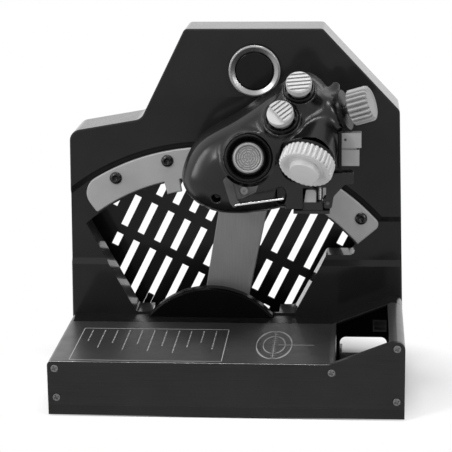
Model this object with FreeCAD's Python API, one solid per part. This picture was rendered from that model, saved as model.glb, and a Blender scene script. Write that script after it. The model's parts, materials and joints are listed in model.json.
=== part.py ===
"""Throttle quadrant: standing wall, base box, swinging lever and side grip with its controls.

X runs forward along the wall, Y runs from the front panel to the back, Z is up, all in millimetres.
The origin is on the resting plane, below the middle of the box.
"""
import FreeCAD
import Part
import math
import os
from FreeCAD import Matrix
from FreeCAD import Placement
from FreeCAD import Vector

# Base box
BASE_WIDTH = 262.0
BASE_DEPTH = 100.0          # front panel face to the seam in front of the plinth
PLINTH_DEPTH = 24.0
BASE_HEIGHT = 42.2          # flat part of the top
RAMP_HEIGHT = 60.0          # top of the cheek at the forward end
RAMP_RUN = 45.0
RAMP_SHOULDER = 9.4         # flat on top of the cheek
BASE_CORNER = 3.0
CHEEK_CORNER = 6.0
FOOT_PROUD = 1.2
FOOT_RADIUS = 7.0
TRAY_FLOOR = 2.0
TRAY_LIP = 8.8              # height of the front lip above the resting plane
PANEL_THICKNESS = 3.0
COVER_WALL = 2.0
COVER_FRONT_WALL = 2.5
BAY_WIDTH = 39.5            # cable bay, cut through the ramp
CHEEK_STRIP = 11.6          # top left beside the bay
INSERT_CLEARANCE = 1.9      # insert flange to the bay's side wall
INSERT_SPACING_Y = 70.0
INSERT_BORE = 2.5           # radius inside the thread of the cockpit inserts
INSERT_RADIUS = 4.5
INSERT_FLANGE = 1.5         # flange beyond the body
INSERT_HEIGHT = 9.0
PANEL_SCREW_RADIUS = 3.3
PANEL_SCREW_SHANK = 1.5
PANEL_SCREW_LENGTH = 5.4
SCREW_SLACK = 0.05

# Circuit board and sockets
BOARD_LENGTH = 92.0
BOARD_WIDTH = 58.0
BOARD_THICKNESS = 1.6
BOARD_CHIPS = (((14.0, 14.0, 1.8), (18.0, 20.0)), ((9.0, 6.0, 1.5), (48.0, 34.0)),
               ((22.0, 6.0, 6.0), (60.0, 8.0)))
STANDOFF_HEIGHT = 6.0
STANDOFF_RADIUS = 3.0
SOCKET_WIDTH = 11.0
SOCKET_HEIGHT = 9.4
SOCKET_DEPTH = 12.0
SOCKET_WALL = 1.2
SOCKET_LIFT = 29.4          # underside above the resting plane

# Standing wall
WALL_OVERHANG = 1.6         # beyond the box at each end
WALL_HEIGHT = 270.0
CASING_DEPTH = 46.0
CASING_WALL = 2.5
WALL_LEAN = 3.0             # each end leans in by this much at its shoulder
SHOULDER_AFT = 190.0
STEP_AFT_X = -73.0
STEP_AFT_Z = 199.8
TOP_AFT_X = -38.0
TOP_FORE_X = 68.3
SHOULDER_FORE = 206.8
CREASE_DROP = 52.2          # the face leans back above this, down from the top
CREASE_SETBACK = 2.2
RIM_BEVEL = 0.9
RECESS_DEPTH = 3.0
RECESS_BORDER = 5.0         # recess arc beyond the plates
RECESS_SLOPE = 4.6
RECESS_FORE_Z = 122.9
RECESS_FOOT_Z = 82.5
COVER_PLATE = 2.0
COVER_GAP = 0.2
POST_RADIUS = 3.6
POST_EDGE = 9.5

# Window, arcs and detent plates
ARC_X = -19.9
ARC_Z = 1.4
WINDOW_REACH = 18.0         # window arc beyond the lever's length
WINDOW_AFT_ANGLE = 41.1
WINDOW_FORE_ANGLE = 48.8
WINDOW_FOOT_Z = 43.6
WINDOW_FOOT_AFT_X = -80.4
WINDOW_FOOT_FORE_X = 46.4
WINDOW_STEP_X = 71.5
WINDOW_STEP_Z = 91.0
FLANGE_DEPTH = 25.0
FLANGE_WALL = 2.0
FLANGE_GAP_AFT = -68.0      # the inner flange is left out where the lever passes
FLANGE_GAP_FORE = 34.0
PLATE_WIDTH = 23.8
PLATE_OVERLAP = 1.5         # plate edge behind the window's arc
PLATE_BEVEL = 0.7
PLATE_AFT_ANGLES = (-36.0, -1.0)
PLATE_FORE_ANGLES = (14.0, 49.5)
STOP_TAB_ANGLES = (-13.6, -8.9)
STOP_TAB_REACH = 8.5        # tab inside the window's arc
PLATE_SCREWS = ((-26.0637, 7.6493), (-11.3166, 7.6205), (44.6635, 7.7228), (21.406, 12.1786))   # angle, inset
BUTTON_HEAD_RADIUS = 4.8
BUTTON_HEAD_HEIGHT = 2.2
SLOT_WIDTH = 5.2
SLOT_LENGTH = 28.3
SLOT_PITCH = 14.9
SLOT_ROW_PITCH = 35.4
SLOT_LEAN = 26.6            # degrees from the vertical
SLOT_MARGIN = 6.0
SLOT_START_X = -21.7        # centre of one slot, from which the rows are counted
SLOT_START_Z = 82.6

# Hub cover and pivot
HUB_COVER_RADIUS = 64.6
HUB_COVER_DEPTH = 9.0
HUB_COVER_WALL = 2.5
PIVOT_X = -16.0
PIVOT_Z = 14.0
SHAFT_RADIUS = 4.0
SHAFT_SLACK = 0.05
BUSH_RADIUS = 6.0
BUSH_FLANGE = 7.4
BUSH_FLANGE_THICKNESS = 1.0
BRACKET_PLATE = 3.0
BRACKET_FOOT = 1.6
BRACKET_WIDTH = 34.0
BRACKET_HEIGHT = 24.0
LEVER_HUB = 8.0
HUB_LENGTH = 12.0
RUNNING_GAP = 0.4
NUT_RADIUS = 7.0
NUT_THICKNESS = 4.0
MAGNET_RADIUS = 3.0
MAGNET_THICKNESS = 2.0

# Lever and grip neck
LEVER_REST = 10.8           # degrees forward of upright
LEVER_SETBACK = 10.0        # lever face behind the wall face
LEVER_THICKNESS = 8.0
LEVER_FOOT_WIDTH = 34.8
LEVER_TOP_WIDTH = 38.6
LEVER_LENGTH = 133.0
LEVER_SHOULDER = 34.0       # height above the pivot where the full width starts
NECK_SETBACK = 9.0          # middle of the neck below the lever's end
NECK_WIDTH = 26.0
NECK_HEIGHT = 12.0
NECK_CORNER = 3.0
NECK_PLATE = 6.0
NECK_PLATE_WIDTH = 30.0
NECK_PLATE_TOP = 50.0
NECK_SCREW_RADIUS = 2.0
GRIP_SCREW_RISES = (30.0, 42.0)   # above the middle of the neck

# Grip body. Places on it are (forward, off the wall, up) from the middle of the neck at the wall face.
GRIP_OFF_WALL = 11.0
GRIP_OUTLINE = ((-42.2, 36.2), (-29.2, 61.2), (0.8, 80.2), (30.8, 100.2), (50.8, 109.2), (66.8, 96.2),
                (73.8, 69.2), (68.8, 42.2), (50.8, 18.2), (17.8, 7.7), (-15.2, 7.2), (-36.2, 18.2))
GRIP_MIDDLE = (12.8, 44.2)
GRIP_SECTIONS = ((0.0, 0.62), (8.0, 0.80), (24.0, 0.94), (45.0, 1.0), (62.0, 0.99), (75.0, 0.93),
                 (82.0, 0.84), (86.0, 0.74))
GRIP_SPLIT = 30.0
GRIP_WALL = 3.0

# Controls on the grip
CURSOR_AT = (9.8, 99.0, 54.2)
CURSOR_AXIS = (0.05, -0.97, 0.22)
CURSOR_CUP = 17.2
CURSOR_DISC = 11.2
UPPER_HAT_AT = (46.3, 90.0, 105.7)
UPPER_HAT_AXIS = (0.0, -0.87, 0.50)
UPPER_HAT_BEZEL = 11.6
UPPER_HAT_CAP = 9.3
THUMB_AT = (34.4, 99.0, 84.8)
THUMB_AXIS = (-0.18, -0.90, 0.38)
THUMB_BEZEL = 12.6
THUMB_CAP = 9.7
WHEEL_AT = (52.4, 106.0, 51.3)
WHEEL_AXIS = (-0.26, -0.72, -0.64)
WHEEL_RADIUS = 19.8
WHEEL_THICKNESS = 11.0
WHEEL_FLUTES = 36
RANGE_AT = (91.1, 79.0, 89.2)
RANGE_AXIS = (0.93, -0.215, 0.304)
RANGE_RADIUS = 13.0
RANGE_LENGTH = 16.0
RANGE_FLUTES = 20
KEY_AT = (84.3, 79.0, 57.4)
KEY_SIZE = (13.6, 9.0, 24.4)
RELEASE_AT = (66.8, 80.0, 17.7)
RELEASE_PIN = 1.45
RELEASE_FOOT = 5.1          # top of the bracket's foot below the pin
CRANK_AT = (6.8, 97.0, 30.3)
ROD_HOLE_AT = (32.8, 97.0, 24.4)

# Seats shared by the small controls, along each control's own axis
CUP_FLOOR = -14.5
HAT_FLOOR = -13.5
WELL_RADIUS = 7.2
GIMBAL_Z = -9.0
RING_INNER = 4.2
RING_OUTER = 6.4
RING_LOW = -10.5
RING_HIGH = -7.5
TRUNNION = 0.9
TRUNNION_REACH = 9.2
BALL_RADIUS = 3.2
STEM_RADIUS = 2.0
KNOB_SHAFT = 3.0
SHAFT_DEPTH = 30.0          # of the knobs' shafts, behind the knob's middle
WHEEL_BOSS_FACE = -8.6
WHEEL_BOSS_RADIUS = 17.2
RANGE_BOSS_FACE = -14.2
RANGE_FLANGE = 15.0
KEY_PLATE_FACE = 9.8
CRANK_PIN = 1.8
CRANK_GAP = 0.3
CRANK_THICKNESS = 3.0
LINK_RADIUS = 0.8

# Push button on the wall
BUTTON_X = 16.0
BUTTON_DROP = 32.0          # below the top of the wall
BUTTON_RING = 20.0
BUTTON_RING_INNER = 14.8
BUTTON_RING_PROUD = 3.0
BUTTON_BARREL = 17.0
BUTTON_BARREL_LENGTH = 16.0
BUTTON_CAP_GAP = 0.35
BUTTON_CAP_RECESS = 1.0
BUTTON_CAP_THICKNESS = 5.0
BUTTON_TRAVEL = 2.5
BUTTON_SPRING = 7.0
BUTTON_STEM = 3.0

# Derived planes
total_depth = BASE_DEPTH + PLINTH_DEPTH + CASING_DEPTH
y_front = -total_depth / 2
y_seam = y_front + BASE_DEPTH
y_wall = y_seam + PLINTH_DEPTH
y_back = y_wall + CASING_DEPTH
z_under = FOOT_PROUD
z_floor = z_under + TRAY_FLOOR
x_ramp_top = BASE_WIDTH / 2 - RAMP_SHOULDER
x_ramp_foot = x_ramp_top - RAMP_RUN
x_bay_fore = BASE_WIDTH / 2 - CHEEK_STRIP
x_bay_aft = x_bay_fore - BAY_WIDTH
y_lever = y_wall + LEVER_SETBACK
wall_width = BASE_WIDTH + 2 * WALL_OVERHANG
z_crease = WALL_HEIGHT - CREASE_DROP
z_button = WALL_HEIGHT - BUTTON_DROP
insert_spacing_x = 2 * (x_bay_aft - COVER_WALL - INSERT_RADIUS - INSERT_FLANGE - INSERT_CLEARANCE)
window_radius = LEVER_LENGTH + WINDOW_REACH
plate_inner = window_radius + PLATE_OVERLAP
plate_outer = plate_inner + PLATE_WIDTH
recess_radius = plate_outer + RECESS_BORDER
neck_reach = LEVER_LENGTH - NECK_SETBACK
rest_angle = math.radians(LEVER_REST)
grip_x = PIVOT_X + neck_reach * math.sin(rest_angle)
grip_z = PIVOT_Z + neck_reach * math.cos(rest_angle)


# ---------------------------------------------------------------- geometry helpers
def rounded_loop(corners, y):
    """Closed wire at depth y through corners given as (x, z, radius)."""
    points = [Vector(x, y, z) for x, z, radius in corners]
    spans = []
    for index, (x, z, radius) in enumerate(corners):
        here = points[index]
        before = (points[index - 1] - here).normalize()
        after = (points[(index + 1) % len(points)] - here).normalize()
        if radius == 0:
            spans.append((here, None, here))
            continue
        half = before.getAngle(after) / 2
        bisector = (before + after).normalize()
        setback = radius / math.tan(half)
        middle = here + bisector * (radius / math.sin(half) - radius)
        spans.append((here + before * setback, middle, here + after * setback))
    edges = []
    for index, (start, middle, end) in enumerate(spans):
        if middle is not None:
            edges.append(Part.Arc(start, middle, end).toShape())
        following = spans[(index + 1) % len(spans)][0]
        if end.distanceToPoint(following) > 1e-6:
            edges.append(Part.LineSegment(end, following).toShape())
    return Part.Wire(edges)


def slab(corners, y, depth):
    """Plate with a rounded outline, from y to y + depth."""
    return Part.Face(rounded_loop(corners, y)).extrude(Vector(0, depth, 0))


def box(low, high):
    size = Vector(*high) - Vector(*low)
    return Part.makeBox(size.x, size.y, size.z, Vector(*low))


def rod_y(x, z, radius, y_from, y_to):
    """Cylinder along Y."""
    return Part.makeCylinder(radius, y_to - y_from, Vector(x, y_from, z), Vector(0, 1, 0))


def polar(radius, angle):
    """Point on the wall at an angle forward of upright about the centre of the arcs."""
    turn = math.radians(angle)
    return Vector(ARC_X + radius * math.sin(turn), 0, ARC_Z + radius * math.cos(turn))


def aim(origin, axis, side=(1, 0, 0)):
    """Placement whose local Z is the axis and whose local X lies towards side."""
    up = Vector(*axis).normalize()
    along = Vector(*side)
    along = (along - up * along.dot(up)).normalize()
    across = up.cross(along)
    matrix = Matrix(along.x, across.x, up.x, origin.x,
                    along.y, across.y, up.y, origin.y,
                    along.z, across.z, up.z, origin.z,
                    0, 0, 0, 1)
    return Placement(matrix)


def placed(shape, place):
    moved = shape.copy()
    moved.Placement = place.multiply(moved.Placement)
    return moved


def hexagon(radius, height, base=0.0):
    """Hexagonal prism along local Z."""
    turns = [math.radians(angle) for angle in range(0, 361, 60)]
    points = [Vector(radius * math.cos(turn), radius * math.sin(turn), base) for turn in turns]
    return Part.Face(Part.makePolygon(points)).extrude(Vector(0, 0, height))


def turned(profile):
    """Solid of revolution about local Z from (radius, height) points."""
    points = [Vector(r, 0, z) for r, z in profile]
    face = Part.Face(Part.makePolygon(points + [points[0]]))
    return face.revolve(Vector(0, 0, 0), Vector(0, 0, 1), 360)


def joined(shapes):
    result = shapes[0]
    if len(shapes) > 1:
        result = result.fuse(shapes[1:])
    return result.removeSplitter()


def coil(radius, wire_radius, length, turns):
    """Open coil spring standing on local Z, with wire of a square section."""
    side = wire_radius * 2
    pitch = (length - side) / turns
    path = Part.Wire(Part.makeHelix(pitch, length - side, radius))
    inner = radius - side
    corners = [Vector(inner, 0, 0), Vector(radius, 0, 0), Vector(radius, 0, side), Vector(inner, 0, side)]
    return path.makePipeShell([Part.makePolygon(corners + [corners[0]])], True, True)


def group(shapes):
    """Separate solids that share one node."""
    return Part.makeCompound(shapes)


def grip_point(at):
    forward, off_wall, up = at
    return Vector(grip_x + forward, y_wall - off_wall, grip_z + up)


def lean(shape):
    """Turn a piece built upright over the pivot to the lever's rest angle."""
    moved = shape.copy()
    moved.rotate(Vector(PIVOT_X, 0, PIVOT_Z), Vector(0, 1, 0), LEVER_REST)
    return moved


# ---------------------------------------------------------------- base box
def base_corners(z_bottom):
    half = BASE_WIDTH / 2
    return [(-half, z_bottom, 0), (-half, BASE_HEIGHT, BASE_CORNER),
            (x_ramp_foot, BASE_HEIGHT, CHEEK_CORNER), (x_ramp_top, RAMP_HEIGHT, CHEEK_CORNER),
            (half, RAMP_HEIGHT, CHEEK_CORNER), (half, z_bottom, 0)]


def base_block(y, depth, z_bottom, inset=0.0):
    """Extruded base profile. An inset block is open at the foot."""
    if inset == 0:
        return slab(base_corners(z_bottom), y, depth)
    face = Part.Face(rounded_loop(base_corners(z_bottom - inset - 5), y)).makeOffset2D(-inset)
    return face.extrude(Vector(0, depth, 0))


def insert_places():
    middle = (y_front + y_wall) / 2
    return [Vector(sx * insert_spacing_x / 2, middle + sy * INSERT_SPACING_Y / 2, z_under)
            for sx in (-1, 1) for sy in (-1, 1)]


def foot_places():
    x = wall_width / 2 - 2 * FOOT_RADIUS
    front = y_front + 2 * FOOT_RADIUS
    back = y_wall + FOOT_RADIUS + 3
    return [Vector(sx * x, y, 0) for sx in (-1, 1) for y in (front, back)]


def board_corner():
    x = -insert_spacing_x / 2 + INSERT_RADIUS + INSERT_FLANGE + 2
    return Vector(x, y_front + 26, z_floor + STANDOFF_HEIGHT)


def standoff_places():
    corner = board_corner()
    edge = 5.0
    return [Vector(corner.x + dx, corner.y + dy, z_floor)
            for dx in (edge, BOARD_LENGTH - edge) for dy in (edge, BOARD_WIDTH - edge)]


def base_tray():
    half = BASE_WIDTH / 2
    tray = box((-half, y_front, z_under), (half, y_wall, z_floor))
    lip = box((-half, y_front, z_under), (half, y_front + PANEL_THICKNESS, TRAY_LIP))
    posts = [Part.makeCylinder(STANDOFF_RADIUS, STANDOFF_HEIGHT, at) for at in standoff_places()]
    tray = joined([tray, lip] + posts)
    holes = [Part.makeCylinder(INSERT_RADIUS, TRAY_FLOOR, at) for at in insert_places()]
    return tray.cut(holes)


def rubber_feet():
    return group([Part.makeCylinder(FOOT_RADIUS, FOOT_PROUD, at) for at in foot_places()])


def mounting_inserts():
    inserts = []
    for at in insert_places():
        body = Part.makeCylinder(INSERT_RADIUS, INSERT_HEIGHT, at)
        flange = Part.makeCylinder(INSERT_RADIUS + INSERT_FLANGE, 1.2, at + Vector(0, 0, TRAY_FLOOR))
        bore = Part.makeCylinder(INSERT_BORE, INSERT_HEIGHT, at)
        inserts.append(body.fuse(flange).removeSplitter().cut(bore))
    return group(inserts)


def panel_screw_places():
    half = BASE_WIDTH / 2
    low = TRAY_LIP + 5.6
    return [(-half + 5.4, BASE_HEIGHT - 5.4), (-half + 6.2, low), (x_ramp_foot + 1.2, BASE_HEIGHT - 6.2),
            (half - 5.8, RAMP_HEIGHT - 5.2), (half - 5.8, low)]


def countersunk(x, z, y, extra=0.0):
    """Flush screw whose head is at depth y and whose point is further back."""
    taper = PANEL_SCREW_RADIUS - PANEL_SCREW_SHANK
    cone = Part.makeCone(PANEL_SCREW_RADIUS, PANEL_SCREW_SHANK, taper, Vector(x, y, z), Vector(0, 1, 0))
    stem = rod_y(x, z, PANEL_SCREW_SHANK + extra, y, y + PANEL_SCREW_LENGTH + extra)
    return cone.fuse(stem).removeSplitter()


def front_panel():
    panel = base_block(y_front, PANEL_THICKNESS, TRAY_LIP)
    return panel.cut([countersunk(x, z, y_front, SCREW_SLACK) for x, z in panel_screw_places()])


def front_panel_screws():
    screws = []
    for x, z in panel_screw_places():
        screw = countersunk(x, z, y_front)
        arm = PANEL_SCREW_RADIUS * 1.1
        across = box((x - arm / 2, y_front, z - 0.4), (x + arm / 2, y_front + 1.2, z + 0.4))
        upright = box((x - 0.4, y_front, z - arm / 2), (x + 0.4, y_front + 1.2, z + arm / 2))
        screws.append(screw.cut([across, upright]))
    return group(screws)


def base_cover():
    y_start = y_front + PANEL_THICKNESS
    outer = base_block(y_start, y_seam - y_start, z_floor)
    inner = base_block(y_start + COVER_FRONT_WALL, y_seam - y_start, z_floor, COVER_WALL)
    cover = outer.cut(inner)
    bay = box((x_bay_aft, y_start + 1.5, BASE_HEIGHT - 2 * COVER_WALL),
              (x_bay_fore, y_seam, RAMP_HEIGHT + 1))
    cover = cover.cut(bay)
    partition = box((x_bay_aft - COVER_WALL, y_start + COVER_FRONT_WALL, z_floor),
                    (x_bay_aft, y_seam, BASE_HEIGHT - COVER_WALL))
    cover = joined([cover, partition])
    holes = [countersunk(x, z, y_front, SCREW_SLACK) for x, z in panel_screw_places()]
    return cover.cut(holes)


def wall_plinth():
    outer = base_block(y_seam, PLINTH_DEPTH, z_floor)
    inner = base_block(y_seam, PLINTH_DEPTH, z_floor, COVER_WALL)
    return outer.cut(inner)


def bay_socket():
    """Link socket on the casing face inside the cable bay, open towards the front."""
    x = x_bay_fore - SOCKET_WIDTH
    y = y_wall - 2.0
    z = SOCKET_LIFT
    body = box((x, y, z), (x + SOCKET_WIDTH, y + SOCKET_DEPTH, z + SOCKET_HEIGHT))
    mouth = box((x + SOCKET_WALL, y, z + SOCKET_WALL),
                (x + SOCKET_WIDTH - SOCKET_WALL, y + SOCKET_DEPTH - 3, z + SOCKET_HEIGHT - SOCKET_WALL))
    return body.cut(mouth)


def main_circuit_board():
    corner = board_corner()
    board = Part.makeBox(BOARD_LENGTH, BOARD_WIDTH, BOARD_THICKNESS, corner)
    top = corner + Vector(0, 0, BOARD_THICKNESS)
    chips = [Part.makeBox(*size, top + Vector(*at, 0)) for size, at in BOARD_CHIPS]
    return joined([board] + chips)


# ---------------------------------------------------------------- standing wall
def casing_corners(z_bottom):
    half = wall_width / 2
    lean_in = half - WALL_LEAN
    return [(-half, z_bottom, 0), (-lean_in, SHOULDER_AFT, 9), (STEP_AFT_X, STEP_AFT_Z, 9),
            (TOP_AFT_X, WALL_HEIGHT, 4), (TOP_FORE_X, WALL_HEIGHT, 4),
            (half - WALL_LEAN * 1.6, SHOULDER_FORE, 5), (half, z_bottom, 0)]


def casing_block(y, depth, inset=0.0):
    """Wall outline, extruded, with the upper face leaning back."""
    face = Part.Face(rounded_loop(casing_corners(z_under), y))
    if inset > 0:
        face = face.makeOffset2D(-inset)
    block = face.extrude(Vector(0, depth, 0))
    over = 20.0
    z_over = WALL_HEIGHT + over
    setback = CREASE_SETBACK * (z_over - z_crease) / (WALL_HEIGHT - z_crease)
    corners = [(y - 5, z_crease), (y, z_crease), (y + setback, z_over), (y - 5, z_over)]
    points = [Vector(-wall_width, py, pz) for py, pz in corners]
    wedge = Part.Face(Part.makePolygon(points + [points[0]])).extrude(Vector(2 * wall_width, 0, 0))
    return block.cut(wedge)


def front_edges(shape, y, limit):
    """Edges of the front rim, leaving out the crease."""
    chosen = []
    for edge in shape.Edges:
        bounds = edge.BoundBox
        is_crease = abs(bounds.ZMin - z_crease) < 0.01 and abs(bounds.ZMax - z_crease) < 0.01
        if bounds.YMax < y + limit and not is_crease:
            chosen.append(edge)
    return chosen


def recess_loop(y, radius, fore_z, foot_z):
    reach = wall_width / 2 + 10
    aft_z = ARC_Z + math.sqrt(radius ** 2 - (-reach - ARC_X) ** 2)
    fore_x = ARC_X + math.sqrt(radius ** 2 - (fore_z - ARC_Z) ** 2)
    corner = [Vector(-reach, y, foot_z), Vector(-reach, y, aft_z), Vector(fore_x, y, fore_z),
              Vector(reach, y, fore_z), Vector(reach, y, foot_z)]
    apex = Vector(ARC_X, y, ARC_Z + radius)
    edges = [Part.LineSegment(corner[0], corner[1]).toShape(),
             Part.Arc(corner[1], apex, corner[2]).toShape()]
    for start, end in zip(corner[2:], corner[3:] + corner[:1]):
        edges.append(Part.LineSegment(start, end).toShape())
    return Part.Wire(edges)


def recess_cut():
    outer = recess_loop(y_wall, recess_radius, RECESS_FORE_Z, RECESS_FOOT_Z)
    floor = recess_loop(y_wall + RECESS_DEPTH, recess_radius - RECESS_SLOPE, RECESS_FORE_Z - RECESS_SLOPE,
                        RECESS_FOOT_Z + RECESS_SLOPE)
    return Part.makeLoft([outer, floor], True, True)


def window_block(y, depth, offset=0.0):
    aft = polar(window_radius, -WINDOW_AFT_ANGLE)
    fore = polar(window_radius, WINDOW_FORE_ANGLE)
    foot_aft = Vector(WINDOW_FOOT_AFT_X, 0, WINDOW_FOOT_Z)
    slope = (aft - foot_aft).normalize()
    above = foot_aft + slope * 130
    corners = [(foot_aft.x, foot_aft.z, 3), (WINDOW_FOOT_FORE_X, WINDOW_FOOT_Z, 3),
               (WINDOW_STEP_X, WINDOW_STEP_Z, 3), (fore.x, WINDOW_STEP_Z, 4), (fore.x, ARC_Z + window_radius + 20, 0),
               (above.x, above.z + 60, 0), (above.x, above.z, 0)]
    face = Part.Face(rounded_loop(corners, y))
    disc = Part.Face(Part.Wire(Part.makeCircle(window_radius, Vector(ARC_X, y, ARC_Z), Vector(0, 1, 0))))
    face = face.common(disc).Faces[0]
    if offset != 0:
        face = face.makeOffset2D(offset)
    return face.extrude(Vector(0, depth, 0))


def cover_post_places():
    """Screw posts of the rear cover, clear of the window and of the cable notch."""
    edge = wall_width / 2 - POST_EDGE
    high = WALL_HEIGHT - POST_EDGE - 2
    return [(-edge, 16.0), (-edge, 62.0), (-edge + 4, SHOULDER_AFT - 14),
            (STEP_AFT_X + 10, STEP_AFT_Z - 10),
            (TOP_AFT_X + 9, high), (TOP_FORE_X - 6, high), (edge - 10, SHOULDER_FORE - 12),
            (edge - 2, 140.0), (edge, 66.0), (52.0, 18.0), (-62.0, 18.0)]


def cable_notch(y, depth, top):
    """Cable way at the forward foot, from the bay to the back."""
    corners = [(x_bay_aft + 2, -5, 0), (x_bay_aft + 2, top, 5), (x_bay_fore + 1, top, 5),
               (x_bay_fore + 1, -5, 0)]
    return slab(corners, y, depth)


def wall_casing():
    outer = casing_block(y_wall, CASING_DEPTH)
    outer = outer.makeChamfer(RIM_BEVEL, front_edges(outer, y_wall, CREASE_SETBACK + 0.1))
    backing_depth = RECESS_DEPTH + CASING_WALL
    backing = Part.Face(recess_loop(y_wall, recess_radius + 1, RECESS_FORE_Z + 1, RECESS_FOOT_Z - 1))
    cavity = casing_block(y_wall + CASING_WALL, CASING_DEPTH, CASING_WALL)
    cavity = cavity.cut(backing.extrude(Vector(0, backing_depth, 0)))
    casing = outer.cut(cavity).cut(recess_cut())
    ring = window_block(y_wall, FLANGE_DEPTH, FLANGE_WALL)
    front_ring = window_block(y_wall, RECESS_DEPTH, FLANGE_WALL)
    lever_room = box((FLANGE_GAP_AFT, y_wall + CASING_WALL, WINDOW_FOOT_Z - 2 * FLANGE_WALL),
                     (FLANGE_GAP_FORE, y_back, WINDOW_FOOT_Z + 1))
    ring = ring.cut([front_ring, lever_room])
    posts = [rod_y(x, z, POST_RADIUS, y_wall + CASING_WALL, y_back - COVER_PLATE)
             for x, z in cover_post_places()]
    barrel_seat = rod_y(BUTTON_X, z_button, BUTTON_RING + 3, y_wall + CASING_WALL, y_wall + 5.5)
    casing = joined([casing, ring, barrel_seat] + posts)
    tools = [window_block(y_wall - 1, FLANGE_DEPTH + 2)]
    tools.append(rod_y(BUTTON_X, z_button, BUTTON_RING + 0.3, y_wall - 5, y_wall + CREASE_SETBACK))
    tools.append(rod_y(BUTTON_X, z_button, BUTTON_BARREL + 0.2, y_wall, y_wall + 8))
    tools.append(cable_notch(y_wall - 1, CASING_WALL + 2, 25.0))
    tools.append(cable_notch(y_wall + FLANGE_DEPTH - 2, CASING_DEPTH, z_floor + 1.5))
    x_socket = x_bay_fore - SOCKET_WIDTH
    tools.append(box((x_socket, y_wall - 1, SOCKET_LIFT),
                     (x_socket + SOCKET_WIDTH, y_wall + 4, SOCKET_LIFT + SOCKET_HEIGHT)))
    for x, z in plate_screw_places():
        tools.append(rod_y(x, z, PANEL_SCREW_SHANK + SCREW_SLACK, y_wall, y_wall + backing_depth + 1))
    for x, z in cover_post_places():
        tools.append(rod_y(x, z, PANEL_SCREW_SHANK + SCREW_SLACK, y_back - 10, y_back))
    return casing.cut(tools)


def slot_tools(y, depth):
    """Slots of the rear cover, in leaning rows behind the window."""
    turn = math.radians(SLOT_LEAN)
    along = Vector(math.sin(turn), 0, math.cos(turn))
    across = Vector(math.cos(turn), 0, -math.sin(turn))
    room = window_block(y, depth, SLOT_MARGIN)
    middle = Vector(SLOT_START_X, 0, SLOT_START_Z)
    half_wide = SLOT_WIDTH / 2
    half_long = SLOT_LENGTH / 2
    corners = [(-half_wide, -half_long, 1.0), (-half_wide, half_long, 1.0),
               (half_wide, half_long, 1.0), (half_wide, -half_long, 1.0)]
    slot = slab(corners, y, depth)
    slot.rotate(Vector(0, 0, 0), Vector(0, 1, 0), SLOT_LEAN)
    full = slot.Volume
    tools = []
    for row in range(-3, 4):
        for column in range(-8, 9):
            centre = middle + across * (column * SLOT_PITCH) + along * (row * SLOT_ROW_PITCH)
            copy = slot.copy()
            copy.translate(centre)
            kept = copy.common(room)
            if kept.Volume > 0.3 * full:
                tools.append(kept)
    return tools


def rear_cover():
    face = Part.Face(rounded_loop(casing_corners(z_under), y_back - COVER_PLATE))
    face = face.makeOffset2D(-CASING_WALL - COVER_GAP)
    cover = face.extrude(Vector(0, COVER_PLATE, 0))
    tools = slot_tools(y_back - COVER_PLATE, COVER_PLATE)
    tools.append(cable_notch(y_back - COVER_PLATE, COVER_PLATE, z_floor + 7.0))
    for x, z in cover_post_places():
        tools.append(rear_screw(x, z, SCREW_SLACK))
    return cover.cut(tools)


def rear_screw(x, z, extra=0.0):
    """Flush screw driven forward into a post."""
    head = PANEL_SCREW_RADIUS * 0.85
    taper = head - PANEL_SCREW_SHANK
    cone = Part.makeCone(head, PANEL_SCREW_SHANK, taper, Vector(x, y_back, z), Vector(0, -1, 0))
    stem = rod_y(x, z, PANEL_SCREW_SHANK + extra, y_back - 8, y_back)
    return cone.fuse(stem).removeSplitter()


def rear_cover_screws():
    screws = []
    for x, z in cover_post_places():
        slot = box((x - 2, y_back - 1, z - 0.4), (x + 2, y_back, z + 0.4))
        screws.append(rear_screw(x, z).cut(slot))
    return group(screws)


def arc_band(inner, outer, start, end, y, depth, end_radius=0.0):
    """Flat plate between two radii about the centre of the arcs."""
    shift = Vector(0, y, 0)
    middle = (start + end) / 2
    corners = [polar(outer, start) + shift, polar(outer, end) + shift,
               polar(inner, end) + shift, polar(inner, start) + shift]
    edges = [Part.Arc(corners[0], polar(outer, middle) + shift, corners[1]).toShape(),
             Part.LineSegment(corners[1], corners[2]).toShape(),
             Part.Arc(corners[2], polar(inner, middle) + shift, corners[3]).toShape(),
             Part.LineSegment(corners[3], corners[0]).toShape()]
    return Part.Face(Part.Wire(edges)).extrude(Vector(0, depth, 0))


def upright_edges(shape, x, z, reach=0.6):
    """Edges along Y that pass near a place on the wall."""
    found = []
    for edge in shape.Edges:
        bounds = edge.BoundBox
        along_y = bounds.YLength > 0.5 and bounds.XLength < 0.01 and bounds.ZLength < 0.01
        if along_y and math.hypot(bounds.XMin - x, bounds.ZMin - z) < reach:
            found.append(edge)
    return found


def bevelled(shape, y, size):
    """Chamfer every edge that lies in the plane at depth y."""
    rim = [edge for edge in shape.Edges
           if abs(edge.BoundBox.YMin - y) < 1e-4 and edge.BoundBox.YLength < 1e-3]
    return shape.makeChamfer(size, rim)


def plate_screw_places():
    places = [polar(plate_outer - inset, angle) for angle, inset in PLATE_SCREWS]
    return [(place.x, place.z) for place in places]


def plate_screw_holes(y, depth):
    return [rod_y(x, z, PANEL_SCREW_SHANK + 0.2, y, y + depth) for x, z in plate_screw_places()]


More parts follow.
